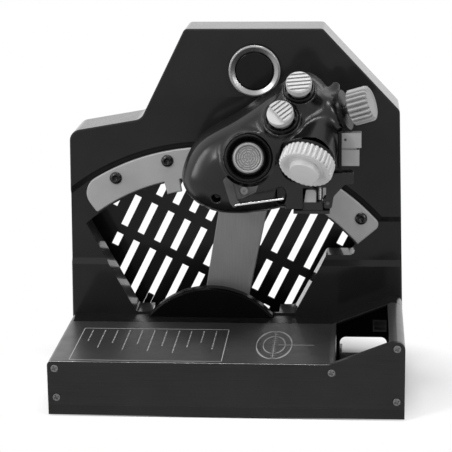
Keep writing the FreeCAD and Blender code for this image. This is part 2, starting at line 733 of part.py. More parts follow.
def aft_detent_plate():
    start, end = PLATE_AFT_ANGLES
    plate = arc_band(plate_inner, plate_outer, start, end, y_wall, RECESS_DEPTH)
    tab_start, tab_end = STOP_TAB_ANGLES
    tab = arc_band(window_radius - STOP_TAB_REACH, plate_inner + 1, tab_start, tab_end, y_wall, RECESS_DEPTH)
    plate = joined([plate, tab])
    corner = polar(plate_outer, start)
    plate = plate.makeFillet(14.0, upright_edges(plate, corner.x, corner.z))
    corner = polar(plate_inner, start)
    plate = plate.makeFillet(2.0, upright_edges(plate, corner.x, corner.z))
    plate = bevelled(plate, y_wall, PLATE_BEVEL)
    return plate.cut(plate_screw_holes(y_wall, RECESS_DEPTH))


def fore_detent_plate():
    start, end = PLATE_FORE_ANGLES
    plate = arc_band(plate_inner, plate_outer, start, end, y_wall, RECESS_DEPTH)
    corner = polar(plate_outer, end)
    plate = plate.makeFillet(5.0, upright_edges(plate, corner.x, corner.z))
    plate = bevelled(plate, y_wall, PLATE_BEVEL)
    return plate.cut(plate_screw_holes(y_wall, RECESS_DEPTH))


def detent_plate_screws():
    screws = []
    for x, z in plate_screw_places():
        edge = BUTTON_HEAD_RADIUS
        dome = turned([(0, 0), (edge, 0), (edge, 0.6), (edge - 0.9, 1.6), (edge - 2.1, BUTTON_HEAD_HEIGHT),
                       (0, BUTTON_HEAD_HEIGHT)])
        socket = hexagon(1.5, 2.0, BUTTON_HEAD_HEIGHT - 1.4)
        length = RECESS_DEPTH + CASING_WALL
        stem = Part.makeCylinder(PANEL_SCREW_SHANK, length, Vector(0, 0, -length))
        screw = dome.cut(socket).fuse(stem)
        screws.append(placed(screw, aim(Vector(x, y_wall, z), (0, -1, 0))))
    return group(screws)


def hub_cover():
    front = y_wall - HUB_COVER_DEPTH
    outer = rod_y(ARC_X, ARC_Z, HUB_COVER_RADIUS, front, y_wall)
    outer = bevelled(outer, front, 1.2)
    inner = rod_y(ARC_X, ARC_Z, HUB_COVER_RADIUS - HUB_COVER_WALL, front + HUB_COVER_WALL, y_wall)
    below = box((-BASE_WIDTH, front - 1, -BASE_WIDTH), (BASE_WIDTH, y_wall + 1, BASE_HEIGHT))
    return outer.cut([inner, below])


# ---------------------------------------------------------------- pivot and sensor
def bracket_planes():
    """Front and back faces of the two uprights that carry the bushes."""
    hub_front = y_lever + LEVER_THICKNESS / 2 - HUB_LENGTH / 2
    hub_back = hub_front + HUB_LENGTH
    gap = BUSH_FLANGE_THICKNESS + RUNNING_GAP
    front_in = hub_front - gap
    back_in = hub_back + gap
    return (front_in - BRACKET_PLATE, front_in, back_in, back_in + BRACKET_PLATE)


def pivot_bracket():
    front_out, front_in, back_in, back_out = bracket_planes()
    half = BRACKET_WIDTH / 2
    z_seat = z_under + CASING_WALL
    corners = [(PIVOT_X - half, z_seat, 0), (PIVOT_X - half, z_seat + 6, 0),
               (PIVOT_X - LEVER_HUB - 1, PIVOT_Z + LEVER_HUB + 1, 5),
               (PIVOT_X + LEVER_HUB + 1, PIVOT_Z + LEVER_HUB + 1, 5), (PIVOT_X + half, z_seat + 6, 0),
               (PIVOT_X + half, z_seat, 0)]
    uprights = [slab(corners, front_out, BRACKET_PLATE), slab(corners, back_in, BRACKET_PLATE)]
    foot = box((PIVOT_X - half, front_out, z_seat), (PIVOT_X + half, back_out, z_seat + BRACKET_FOOT))
    bracket = joined(uprights + [foot])
    return bracket.cut(rod_y(PIVOT_X, PIVOT_Z, BUSH_RADIUS, front_out - 1, back_out + 1))


def pivot_bushes():
    front_out, front_in, back_in, back_out = bracket_planes()
    bushes = []
    for plate_face, inner_face, direction in ((front_out, front_in, 1), (back_out, back_in, -1)):
        near, far = sorted((plate_face, inner_face))
        barrel = rod_y(PIVOT_X, PIVOT_Z, BUSH_RADIUS, near, far)
        flange_from = min(inner_face, inner_face + direction * BUSH_FLANGE_THICKNESS)
        flange = rod_y(PIVOT_X, PIVOT_Z, BUSH_FLANGE, flange_from, flange_from + BUSH_FLANGE_THICKNESS)
        bore = rod_y(PIVOT_X, PIVOT_Z, SHAFT_RADIUS + SHAFT_SLACK, front_out - 1, back_out + 1)
        bushes.append(barrel.fuse(flange).removeSplitter().cut(bore))
    return group(bushes)


def pivot_shaft():
    front_out, front_in, back_in, back_out = bracket_planes()
    return rod_y(PIVOT_X, PIVOT_Z, SHAFT_RADIUS, front_out, back_out + 9.0)


def friction_washer():
    back_out = bracket_planes()[3]
    ring = rod_y(PIVOT_X, PIVOT_Z, NUT_RADIUS, back_out, back_out + 1.2)
    return ring.cut(rod_y(PIVOT_X, PIVOT_Z, SHAFT_RADIUS + SHAFT_SLACK, back_out, back_out + 2))


def tension_nut():
    start = bracket_planes()[3] + 1.2 + 0.3
    nut = placed(hexagon(NUT_RADIUS, NUT_THICKNESS), aim(Vector(PIVOT_X, start, PIVOT_Z), (0, 1, 0)))
    return nut.cut(rod_y(PIVOT_X, PIVOT_Z, SHAFT_RADIUS, start, start + NUT_THICKNESS))


def sensor_magnet():
    end = bracket_planes()[3] + 9.0
    return rod_y(PIVOT_X, PIVOT_Z, MAGNET_RADIUS, end, end + MAGNET_THICKNESS)


def sensor_board():
    """Angle sensor board, facing the magnet, on a leg that stands on the casing floor."""
    face = bracket_planes()[3] + 9.0 + MAGNET_THICKNESS + 1.0
    z_seat = z_under + CASING_WALL
    front = face + 1.0
    back = front + BOARD_THICKNESS
    board = box((PIVOT_X - 10, front, z_seat), (PIVOT_X + 10, back, PIVOT_Z + 10))
    chip = box((PIVOT_X - 2.5, face, PIVOT_Z - 2.5), (PIVOT_X + 2.5, front, PIVOT_Z + 2.5))
    leg = box((PIVOT_X - 14, back, z_seat), (PIVOT_X + 14, back + 2.0, z_seat + 8))
    return joined([board, chip, leg])


# ---------------------------------------------------------------- lever and neck
def lever_arm():
    foot = LEVER_FOOT_WIDTH / 2
    top = LEVER_TOP_WIDTH / 2
    side = LEVER_HUB * 0.8
    corners = [(PIVOT_X - side, PIVOT_Z, 0), (PIVOT_X - foot, PIVOT_Z + LEVER_SHOULDER, 8),
               (PIVOT_X - top, PIVOT_Z + LEVER_LENGTH, 7), (PIVOT_X + top, PIVOT_Z + LEVER_LENGTH, 7),
               (PIVOT_X + foot, PIVOT_Z + LEVER_SHOULDER, 8), (PIVOT_X + side, PIVOT_Z, 0)]
    arm = slab(corners, y_lever, LEVER_THICKNESS)
    arm = bevelled(arm, y_lever, 0.6)
    hub_front = y_lever + LEVER_THICKNESS / 2 - HUB_LENGTH / 2
    arm = joined([arm, rod_y(PIVOT_X, PIVOT_Z, LEVER_HUB, hub_front, hub_front + HUB_LENGTH)])
    arm = arm.cut(rod_y(PIVOT_X, PIVOT_Z, SHAFT_RADIUS, hub_front - 1, hub_front + HUB_LENGTH + 1))
    for x, z in neck_screw_places():
        arm = arm.cut(rod_y(x, z, NECK_SCREW_RADIUS + SCREW_SLACK, y_lever, y_lever + LEVER_THICKNESS))
    return lean(arm)


def neck_screw_places():
    return [(PIVOT_X + side * NECK_WIDTH / 4, PIVOT_Z + neck_reach) for side in (-1, 1)]


def grip_neck():
    """Stub through the window and the plate that carries the grip."""
    z = PIVOT_Z + neck_reach
    half = NECK_WIDTH / 2
    low = z - NECK_HEIGHT / 2
    high = z + NECK_HEIGHT / 2
    y_plate = y_wall - GRIP_OFF_WALL
    corners = [(PIVOT_X - half, low, NECK_CORNER), (PIVOT_X - half, high, NECK_CORNER),
               (PIVOT_X + half, high, NECK_CORNER), (PIVOT_X + half, low, NECK_CORNER)]
    stub = slab(corners, y_plate, y_lever - y_plate)
    wide = NECK_PLATE_WIDTH / 2
    foot = low - 2.0
    corners = [(PIVOT_X - wide, foot, 5), (PIVOT_X - wide, z + NECK_PLATE_TOP, 8),
               (PIVOT_X + wide, z + NECK_PLATE_TOP, 8), (PIVOT_X + wide, foot, 5)]
    neck = joined([stub, slab(corners, y_plate, NECK_PLATE)])
    holes = [rod_y(x, z, NECK_SCREW_RADIUS, y_lever - 9, y_lever) for x, z in neck_screw_places()]
    holes += [grip_screw(x, z, SCREW_SLACK) for x, z in grip_screw_places()]
    return lean(neck.cut(holes))


def neck_screws():
    back = y_lever + LEVER_THICKNESS
    screws = []
    for x, z in neck_screw_places():
        head = rod_y(x, z, NECK_SCREW_RADIUS * 1.8, back, back + 3)
        stem = rod_y(x, z, NECK_SCREW_RADIUS, y_lever - 8, back)
        socket = rod_y(x, z, 1.4, back + 1.2, back + 3)
        screws.append(lean(head.fuse(stem).removeSplitter().cut(socket)))
    return group(screws)


# ---------------------------------------------------------------- push button on the wall
def countermeasure_ring():
    """Flanged barrel that stands in the wall, with a floor for the spring and the stem."""
    start = y_wall - BUTTON_RING_PROUD
    seat = y_wall + CREASE_SETBACK
    end = seat + BUTTON_BARREL_LENGTH
    flange = bevelled(rod_y(BUTTON_X, z_button, BUTTON_RING, start, seat), start, 0.8)
    barrel = rod_y(BUTTON_X, z_button, BUTTON_BARREL, start, end)
    bore = rod_y(BUTTON_X, z_button, BUTTON_RING_INNER, start, end - 2)
    stem_hole = rod_y(BUTTON_X, z_button, BUTTON_STEM + SHAFT_SLACK, start, end)
    return joined([flange, barrel]).cut([bore, stem_hole])


def countermeasure_button():
    """Cap that slides in the ring on a central stem, with a groove for the spring behind it."""
    front = y_wall - BUTTON_RING_PROUD + BUTTON_CAP_RECESS
    back = front + BUTTON_CAP_THICKNESS
    cap = rod_y(BUTTON_X, z_button, BUTTON_RING_INNER - BUTTON_CAP_GAP, front, back)
    cap = bevelled(cap, front, 0.5)
    room = BUTTON_TRAVEL + 0.5
    groove = rod_y(BUTTON_X, z_button, BUTTON_SPRING + 0.6, back - room, back)
    groove = groove.cut(rod_y(BUTTON_X, z_button, BUTTON_SPRING - 2.0, back - room, back))
    stem = rod_y(BUTTON_X, z_button, BUTTON_STEM, back - room, back + 12.0)
    return joined([cap.cut(groove), stem])


def countermeasure_spring():
    """Coil between the cap and the floor of the ring."""
    start = y_wall - BUTTON_RING_PROUD + BUTTON_CAP_RECESS + BUTTON_CAP_THICKNESS
    end = y_wall + CREASE_SETBACK + BUTTON_BARREL_LENGTH - 2.0
    spring = coil(BUTTON_SPRING, 0.6, end - start, 4)
    return placed(spring, aim(Vector(BUTTON_X, start, z_button), (0, 1, 0)))


def countermeasure_switch():
    """Switch body on the back of the ring, hollow where the stem enters."""
    start = y_wall + CREASE_SETBACK + BUTTON_BARREL_LENGTH
    half = 8.0
    body = box((BUTTON_X - half, start, z_button - half), (BUTTON_X + half, start + 9, z_button + half))
    return body.cut(rod_y(BUTTON_X, z_button, BUTTON_STEM + 0.4, start, start + 6))


# ---------------------------------------------------------------- grip shells
def grip_scale(offset):
    """Size of the grip's section at a distance from its wall side."""
    for (near, small), (far, large) in zip(GRIP_SECTIONS, GRIP_SECTIONS[1:]):
        if offset <= far:
            return small + (large - small) * (offset - near) / (far - near)
    return GRIP_SECTIONS[-1][1]


def grip_loft(inset=0.0):
    """Closed body through scaled outlines, from the wall side to the control face."""
    depth = GRIP_SECTIONS[-1][0]
    mean_radius = 48.0
    wires = []
    for offset, scale in GRIP_SECTIONS:
        offset = min(max(offset, inset), depth - inset)
        size = grip_scale(offset) - 1.25 * inset / mean_radius
        points = []
        for forward, up in GRIP_OUTLINE:
            local = (GRIP_MIDDLE[0] + (forward - GRIP_MIDDLE[0]) * size,
                     GRIP_OFF_WALL + offset, GRIP_MIDDLE[1] + (up - GRIP_MIDDLE[1]) * size)
            points.append(grip_point(local))
        curve = Part.BSplineCurve()
        curve.interpolate(Points=points, PeriodicFlag=True)
        wires.append(Part.Wire(curve.toShape()))
    return Part.makeLoft(wires, True, False)


def local_cylinder(place, radius, low, high, top_radius=None):
    """Cylinder or cone about the local axis of a control."""
    if top_radius is None or top_radius == radius:
        shape = Part.makeCylinder(radius, high - low, Vector(0, 0, low))
    else:
        shape = Part.makeCone(radius, top_radius, high - low, Vector(0, 0, low))
    return placed(shape, place)


def cursor_place():
    return aim(grip_point(CURSOR_AT), CURSOR_AXIS)


def upper_hat_place():
    return aim(grip_point(UPPER_HAT_AT), UPPER_HAT_AXIS, (1, 0, 0.12))


def thumb_place():
    return aim(grip_point(THUMB_AT), THUMB_AXIS, (1, 0, 1))


def wheel_place():
    return aim(grip_point(WHEEL_AT), WHEEL_AXIS)


def range_place():
    return aim(grip_point(RANGE_AT), RANGE_AXIS, (0, 0, 1))


def grip_bosses():
    """Raised seats of the controls, each with a post that reaches into the shell."""
    key = grip_point(KEY_AT)
    release = grip_point(RELEASE_AT)
    return [
        local_cylinder(cursor_place(), CURSOR_CUP + 2.4, -17.0, -0.6, CURSOR_CUP + 1.2),
        local_cylinder(upper_hat_place(), UPPER_HAT_BEZEL + 3.0, -24.0, -3.2, UPPER_HAT_BEZEL + 1.0),
        local_cylinder(thumb_place(), THUMB_BEZEL + 3.0, -20.0, -3.2, THUMB_BEZEL + 1.0),
        local_cylinder(wheel_place(), 9.0, -52.0, WHEEL_BOSS_FACE, WHEEL_BOSS_RADIUS),
        local_cylinder(range_place(), 15.0, -46.0, RANGE_BOSS_FACE, RANGE_FLANGE - 1.0),
        box((key.x - 24, key.y - 12.5, key.z - 13), (key.x - KEY_PLATE_FACE, key.y + 12.5, key.z + 13)),
        box((release.x - 28, release.y - 10, release.z - RELEASE_FOOT),
            (release.x - 6, release.y + 10, release.z + 28)),
    ]


def grip_tools():
    """Bores and pockets of the controls."""
    key = grip_point(KEY_AT)
    release = grip_point(RELEASE_AT)
    rod_hole = Part.makeCylinder(4.0, 8.0)
    stretch = Matrix()
    stretch.scale(1.0, 1.9, 1.0)
    rod_hole = rod_hole.transformGeometry(stretch)
    front = grip_point(ROD_HOLE_AT) + Vector(0, -1, 0)
    crank = grip_point(CRANK_AT)
    return [
        local_cylinder(cursor_place(), CURSOR_CUP + SCREW_SLACK, CUP_FLOOR, 20.0),
        local_cylinder(upper_hat_place(), UPPER_HAT_BEZEL - 0.8 + SCREW_SLACK, HAT_FLOOR, 0),
        local_cylinder(upper_hat_place(), UPPER_HAT_BEZEL + 2.0, -3.0, 20.0),
        local_cylinder(thumb_place(), THUMB_BEZEL - 0.8 + SCREW_SLACK, HAT_FLOOR, 0),
        local_cylinder(thumb_place(), THUMB_BEZEL + 2.0, -3.0, 20.0),
        local_cylinder(wheel_place(), WHEEL_RADIUS + 1.7, WHEEL_BOSS_FACE, 40.0),
        local_cylinder(wheel_place(), KNOB_SHAFT + SHAFT_SLACK, -SHAFT_DEPTH - 1, WHEEL_BOSS_FACE),
        local_cylinder(range_place(), KNOB_SHAFT + SHAFT_SLACK, -SHAFT_DEPTH - 3, RANGE_BOSS_FACE),
        local_cylinder(range_place(), RANGE_FLANGE + 1.0, RANGE_BOSS_FACE, 30.0),
        box((key.x - 16, key.y - 8.5, key.z - 5), (key.x, key.y + 8.5, key.z + 5)),
        box((release.x - 18, release.y - 30, release.z - 20),
            (release.x + 40, release.y + 7.6, release.z + 12.2)),
        box((release.x - 10.4, release.y - 30, release.z + 10),
            (release.x + 40, release.y + 7.6, release.z + 25)),
        box((key.x - KEY_PLATE_FACE, key.y - 12.7, key.z - 14.7),
            (key.x + 20, key.y + 12.7, key.z + 14.7)),
        placed(rod_hole, aim(front, (0, 1, 0))),
        rod_y(crank.x, crank.z, CRANK_PIN, crank.y - 1, crank.y + 7),
    ]


def grip_whole():
    hollow = grip_loft().cut(grip_loft(GRIP_WALL))
    crank = grip_point(CRANK_AT)
    posts = grip_bosses() + [rod_y(crank.x, crank.z, CRANK_PIN + 2.5, crank.y + 1, crank.y + 9)]
    return hollow.fuse(posts).cut(grip_tools())


def largest_solid(shape):
    return max(shape.Solids, key=lambda solid: solid.Volume)


def wall_side(margin=0.0):
    """Half space on the wall side of the grip's seam."""
    seam = y_wall - GRIP_OFF_WALL - GRIP_SPLIT
    return box((-400, seam + margin, -100), (400, y_wall + 200, 600))


def grip_body():
    return largest_solid(grip_whole().cut(wall_side()))


def grip_back_shell():
    shell = grip_whole().common(wall_side())
    tools = [grip_screw(x, z) for x, z in grip_screw_places()]
    z_boss = grip_screw_places()[0][1]
    pad = box((PIVOT_X - 13, y_wall - GRIP_OFF_WALL - 12, z_boss - 6),
              (PIVOT_X + 13, y_wall - GRIP_OFF_WALL - 1, z_boss + 18))
    return largest_solid(shell.fuse(lean(pad)).cut([lean(tool) for tool in tools]))


def grip_screw_places():
    z = PIVOT_Z + neck_reach
    return [(PIVOT_X, z + rise) for rise in GRIP_SCREW_RISES]


def grip_screw(x, z, extra=0.0):
    """Flush screw from the wall side of the neck plate into the back shell."""
    y_head = y_wall - GRIP_OFF_WALL + NECK_PLATE
    head = NECK_SCREW_RADIUS * 1.8
    taper = head - NECK_SCREW_RADIUS
    cone = Part.makeCone(head, NECK_SCREW_RADIUS, taper, Vector(x, y_head, z), Vector(0, -1, 0))
    stem = rod_y(x, z, NECK_SCREW_RADIUS + extra, y_head - 15 - extra, y_head)
    return cone.fuse(stem).removeSplitter()


def grip_screws():
    screws = []
    for x, z in grip_screw_places():
        y_head = y_wall - GRIP_OFF_WALL + NECK_PLATE
        socket = rod_y(x, z, 1.3, y_head - 1.5, y_head)
        screws.append(lean(grip_screw(x, z).cut(socket)))
    return group(screws)


# ---------------------------------------------------------------- small controls
def gimbal_ring(place):
    """Ring whose trunnions along local X turn in the seat around it."""
    ring = turned([(RING_INNER, RING_LOW), (RING_OUTER, RING_LOW), (RING_OUTER, RING_HIGH),
                   (RING_INNER, RING_HIGH)])
    holes = Part.makeCylinder(TRUNNION + SHAFT_SLACK, 20, Vector(0, -10, GIMBAL_Z), Vector(0, 1, 0))
    ring = ring.cut(holes)
    arms = []
    root = RING_INNER + 0.6
    for side in (-1, 1):
        start = Vector(side * root, 0, GIMBAL_Z)
        arms.append(Part.makeCylinder(TRUNNION, TRUNNION_REACH - root, start, Vector(side, 0, 0)))
    return placed(joined([ring] + arms), place)


def stick_stem(place, top):
    """Ball with trunnions along local Y, and the stem above it."""
    ball = Part.makeSphere(BALL_RADIUS, Vector(0, 0, GIMBAL_Z))
    reach = RING_OUTER - 0.3
    pin = Part.makeCylinder(TRUNNION, 2 * reach, Vector(0, -reach, GIMBAL_Z), Vector(0, 1, 0))
    stem = Part.makeCylinder(STEM_RADIUS, top - GIMBAL_Z, Vector(0, 0, GIMBAL_Z))
    return placed(joined([ball, pin, stem]), place)


def trunnion_holes():
    reach = TRUNNION_REACH + 0.3
    start = Vector(-reach, 0, GIMBAL_Z)
    return Part.makeCylinder(TRUNNION + SHAFT_SLACK, 2 * reach, start, Vector(1, 0, 0))


def cursor_cup():
    rim = CURSOR_CUP
    cup = turned([(0, CUP_FLOOR), (rim, CUP_FLOOR), (rim, 0.7), (rim - 0.8, 1.5), (rim - 1.6, 1.5),
                  (rim - 4.7, -6.0), (WELL_RADIUS, -6.0), (WELL_RADIUS, -13.0), (0, -13.0)])
    return placed(cup.cut(trunnion_holes()), cursor_place())


def cursor_gimbal():
    return gimbal_ring(cursor_place())


def cursor_stick():
    return stick_stem(cursor_place(), 0.0)


def cursor_cap():
    edge = CURSOR_DISC
    stem = STEM_RADIUS
    skirt = stem + 1.6
    cap = turned([(0, 0.9), (stem, 0.9), (stem, -3.5), (skirt, -3.5), (skirt, 0.2),
                  (edge - 0.4, 0.2), (edge, 0.6), (edge, 1.8), (edge - 0.9, 2.7), (edge - 2.4, 3.0),
                  (edge - 2.6, 2.7), (0, 2.7)])
    return placed(cap, cursor_place())


def hat_seat(bezel):
    """Profile of a switch seat: barrel, flange and well."""
    barrel = bezel - 0.8
    well = bezel - 1.6
    low = HAT_FLOOR + 0.9
    return [(WELL_RADIUS, -5.0), (WELL_RADIUS, low), (0, low), (0, HAT_FLOOR), (barrel, HAT_FLOOR),
            (barrel, -3.0), (bezel, -3.0), (bezel, -0.6), (bezel - 0.6, 0), (well, 0), (well, -5.0)]


def upper_hat_bezel():
    place = upper_hat_place()
    return placed(turned(hat_seat(UPPER_HAT_BEZEL)).cut(trunnion_holes()), place)


def upper_hat_gimbal():
    return gimbal_ring(upper_hat_place())


def upper_hat_stick():
    return stick_stem(upper_hat_place(), -1.0)


def ridged_cap(radius, skirt, grooves, height):
    """Round cap with parallel grip ridges along local X."""
    stem = STEM_RADIUS
    cap = turned([(0, -0.5), (stem, -0.5), (stem, -3.2), (skirt, -3.2), (skirt, 2.2), (radius, 2.2),
                  (radius, height - 1.0), (radius - 1.0, height), (0, height)])
    step = 2 * radius / (grooves + 1)
    cuts = []
    for index in range(grooves):
        y = -radius + step * (index + 1)
        cuts.append(box((-radius, y - 0.6, height - 1.2), (radius, y + 0.6, height + 1)))
    return cap.cut(cuts)


def upper_hat_cap():
    return placed(ridged_cap(UPPER_HAT_CAP, 7.2, 5, 8.0), upper_hat_place())


def thumb_bezel():
    place = thumb_place()
    reach = THUMB_BEZEL - 1.6
    pin_hole = Part.makeCylinder(TRUNNION, 2 * reach, Vector(-reach, 0, GIMBAL_Z), Vector(1, 0, 0))
    return placed(turned(hat_seat(THUMB_BEZEL)).cut(pin_hole), place)


def thumb_pin():
    reach = THUMB_BEZEL - 1.8
    pin = Part.makeCylinder(TRUNNION, 2 * reach, Vector(-reach, 0, GIMBAL_Z), Vector(1, 0, 0))
    return placed(pin, thumb_place())


def thumb_switch():
    """Rocking cap with diagonal ridges and a lower half-moon step."""
    cap = ridged_cap(THUMB_CAP, 8.0, 5, 8.4)
    cap = cap.cut(box((-THUMB_CAP, -THUMB_CAP, 6.0), (-2.6, THUMB_CAP, 12)))
    hub = Part.makeCylinder(2.8, 8, Vector(-4, 0, GIMBAL_Z), Vector(1, 0, 0))
    stem = Part.makeCylinder(STEM_RADIUS, 8.6, Vector(0, 0, GIMBAL_Z))
    switch = joined([cap, hub, stem])
    bore = Part.makeCylinder(TRUNNION + SHAFT_SLACK, 12, Vector(-6, 0, GIMBAL_Z), Vector(1, 0, 0))
    return placed(switch.cut(bore), thumb_place())


# ---------------------------------------------------------------- knobs
def fluted(body, radius, low, high, count, cutter):
    """Cut evenly spaced scallops along a knob's side."""
    cuts = []
    reach = radius + cutter * 0.35
    for index in range(count):
        turn = 2 * math.pi * index / count
        at = Vector(reach * math.cos(turn), reach * math.sin(turn), low)
        cuts.append(Part.makeCylinder(cutter, high - low, at))
    return body.cut(cuts)


def antenna_gasket():
    inner = KNOB_SHAFT + 0.3
    outer = WHEEL_BOSS_RADIUS + 0.4
    face = -WHEEL_THICKNESS / 2 - 0.5
    ring = turned([(inner, WHEEL_BOSS_FACE), (outer, WHEEL_BOSS_FACE), (outer, face), (inner, face)])
    return placed(ring, wheel_place())


def antenna_wheel():
    half = WHEEL_THICKNESS / 2
    edge = WHEEL_RADIUS
    bore = KNOB_SHAFT
    wheel = turned([(bore, -half), (edge - 0.8, -half), (edge, -half + 0.8), (edge, half - 1.0),
                    (edge - 1.2, half), (edge - 3.8, half), (edge - 6.8, half - 0.9),
                    (edge - 9.0, half + 1.0), (edge - 9.9, half + 3.4), (0, half + 3.6), (0, half - 2),
                    (bore, half - 2)])
    wheel = fluted(wheel, edge, -half, half, WHEEL_FLUTES, 1.1)
    return placed(wheel, wheel_place())


def antenna_shaft():
    half = WHEEL_THICKNESS / 2
    return local_cylinder(wheel_place(), KNOB_SHAFT, -SHAFT_DEPTH, half - 2)


def range_flange():
    ring = turned([(KNOB_SHAFT + 0.3, RANGE_BOSS_FACE), (RANGE_FLANGE, RANGE_BOSS_FACE),
                   (RANGE_FLANGE, RANGE_BOSS_FACE + 2.0), (KNOB_SHAFT + 0.3, RANGE_BOSS_FACE + 2.0)])
    return placed(ring, range_place())


def range_shaft():
    """Plunger that carries the turning knob."""
    half = RANGE_LENGTH / 2
    rod = KNOB_SHAFT
    collar = KNOB_SHAFT * 2
    shaft = turned([(0, -SHAFT_DEPTH - 1), (rod, -SHAFT_DEPTH - 1), (rod, -half - 2.3), (collar, -half - 2.3),
                    (collar, -half - 0.3), (rod, -half - 0.3), (rod, half - 4.0), (0, half - 4.0)])
    return placed(shaft, range_place())


def range_knob():
    half = RANGE_LENGTH / 2
    edge = RANGE_RADIUS
    bore = KNOB_SHAFT + SHAFT_SLACK
    knob = turned([(bore, -half), (edge - 0.8, -half), (edge, -half + 0.8), (edge, half - 0.9),
                   (edge - 1.0, half), (0, half), (0, half - 3.8), (bore, half - 3.8)])
    knob = fluted(knob, edge, -half, half - 1.6, RANGE_FLUTES, 1.3)
    return placed(knob, range_place())


def slide_key_guide():
    at = grip_point(KEY_AT)
    face = at.x - KEY_PLATE_FACE
    plate = box((face, at.y - 12.5, at.z - 14.5), (face + 2.4, at.y + 12.5, at.z + 14.5))
    return plate.cut(box((face - 1, at.y - 7.4, at.z - 4.3), (at.x, at.y + 7.4, at.z + 4.3)))


def slide_key():
    """Block key on a stem, with a groove across its face."""
    at = grip_point(KEY_AT)
    half_length, half_depth, half_height = [size / 2 for size in KEY_SIZE]
    back = at.x - half_length
    fore = at.x + half_length
    front = at.y - half_depth
    block = box((back, front, at.z - half_height), (fore, at.y + half_depth, at.z + half_height))
    edges = [edge for edge in block.Edges if edge.BoundBox.XMin > fore - 0.1]
    block = block.makeFillet(1.6, edges)
    stem = box((at.x - 15.0, at.y - 2, at.z - 4), (back, at.y + 2, at.z + 4))
    groove = box((back, front - 1, at.z - 5.2), (fore - 1.2, front + 1.2, at.z - 2.6))
    return joined([block, stem]).cut(groove)


# ---------------------------------------------------------------- finger release and crank
def release_bracket():
    """Foot under the forward corner of the grip, with the block for the spring and an ear for the pin."""
    at = grip_point(RELEASE_AT)
    foot = box((at.x - 25, at.y - 7.4, at.z - 7.5), (at.x + 1.5, at.y + 7.4, at.z - RELEASE_FOOT))
    corners = [(at.x - 18, at.z - 6, 0), (at.x - 18, at.z + 1, 0), (at.x - 3.9, at.z + 1, 1),
               (at.x - 3.4, at.z - 6, 0)]
    block = slab(corners, at.y - 6.4, 12.8)
    corners = [(at.x - 3.6, at.z - 6, 0), (at.x - 3.6, at.z + 3.6, 2.5), (at.x + 3.6, at.z + 3.6, 2.5),
               (at.x + 1.5, at.z - 6, 0)]
    ear = slab(corners, at.y + 5.4, 2.0)
    return joined([foot, block, ear]).cut(rod_y(at.x, at.z, RELEASE_PIN, at.y + 4, at.y + 10))


def release_pin():
    at = grip_point(RELEASE_AT)
    return rod_y(at.x, at.z, RELEASE_PIN, at.y - 5.3, at.y + 7.4)


def release_lever():
    """Finger lever with a wide pad, and a nose over the spring."""
    at = grip_point(RELEASE_AT)
    outline = [(-7.6, 11.6, 1), (-7.6, 15.0, 1), (0.0, 22.2, 3), (19.0, 23.2, 1.5), (19.0, 14.4, 1.5),
               (12.0, 13.8, 3), (4.3, 4.9, 4), (2.9, -4.0, 2), (-2.9, -4.0, 2), (-2.9, 2.6, 1),
               (-1.2, 3.6, 0), (-1.2, 11.6, 0)]
    corners = [(at.x + x, at.z + z, r) for x, z, r in outline]
    lever = slab(corners, at.y - 5.0, 10.0)
    return lever.cut(rod_y(at.x, at.z, RELEASE_PIN + SHAFT_SLACK, at.y - 6, at.y + 6))


def release_spring():
    """Coil that pushes the lever's nose up."""
    at = grip_point(RELEASE_AT)
    return placed(coil(1.9, 0.35, 10.6, 8), aim(at + Vector(-5.5, 0, 1.0), (0, 0, 1)))


def release_cam():
    at = grip_point(RELEASE_AT)
    corners = [(at.x - 17.2, at.z + 1, 0), (at.x - 15.8, at.z + 10.4, 1), (at.x - 8.4, at.z + 10.4, 3),
               (at.x - 8.4, at.z + 1, 0)]
    return slab(corners, at.y - 6.4, 7.0)


def release_crank():
    """Bell crank on the control face with its strap, cut clear of the cursor seat."""
    at = grip_point(CRANK_AT)
    back = at.y - CRANK_GAP
    plate = [(-13.0, 8.0, 1), (-11.4, 12.3, 1), (11.4, 7.3, 2), (8.4, -1.2, 1.2), (-2.0, -6.2, 1.5),
             (-7.4, -7.0, 1)]
    corners = [(at.x + x, at.z + z, r) for x, z, r in plate]
    web = slab(corners, back - 1.5, 1.5)
    rim = [(-8.9, 12.0), (-2.0, -6.2), (8.4, -1.2), (8.8, -0.4), (-1.7, -5.4), (-8.1, 12.0)]
    lip = slab([(at.x + x, at.z + z, 0) for x, z in rim], back - 2.6, 1.2)
    strap = [(-15.4, 7.3, 1.0), (-11.2, 12.4, 1.5), (-8.2, 5.5, 3), (-5.6, -5.8, 2), (-3.0, -10.5, 1.2),
             (-7.9, -13.0, 1.5), (-10.4, -9.5, 3)]
    corners = [(at.x + x, at.z + z, r) for x, z, r in strap]
    strip = slab(corners, back - CRANK_THICKNESS, CRANK_THICKNESS - 0.4)
    foot = crank_foot()
    tools = [rod_y(at.x, at.z, CRANK_PIN + SHAFT_SLACK, back - 5, back + 1),
             rod_y(foot.x, foot.z, LINK_RADIUS, back - 5, back + 1),
             local_cylinder(cursor_place(), CURSOR_CUP + 3.6, -30.0, 10.0)]
    return largest_solid(joined([web, lip, strip]).cut(tools))


def crank_foot():
    """Where the link rod is hung on the strap."""
    at = grip_point(CRANK_AT)
    return Vector(at.x - 6.2, at.y, at.z - 10.6)


def crank_screw():
    at = grip_point(CRANK_AT)
    under_head = at.y - CRANK_GAP - 1.5 - 0.3
    shank = rod_y(at.x, at.z, CRANK_PIN, under_head, at.y + 6)
    head = rod_y(at.x, at.z, CRANK_PIN + 1.0, under_head - 1.3, under_head)
    socket = rod_y(at.x, at.z, 1.0, under_head - 1.3, under_head - 0.5)
    return joined([shank, head]).cut(socket)


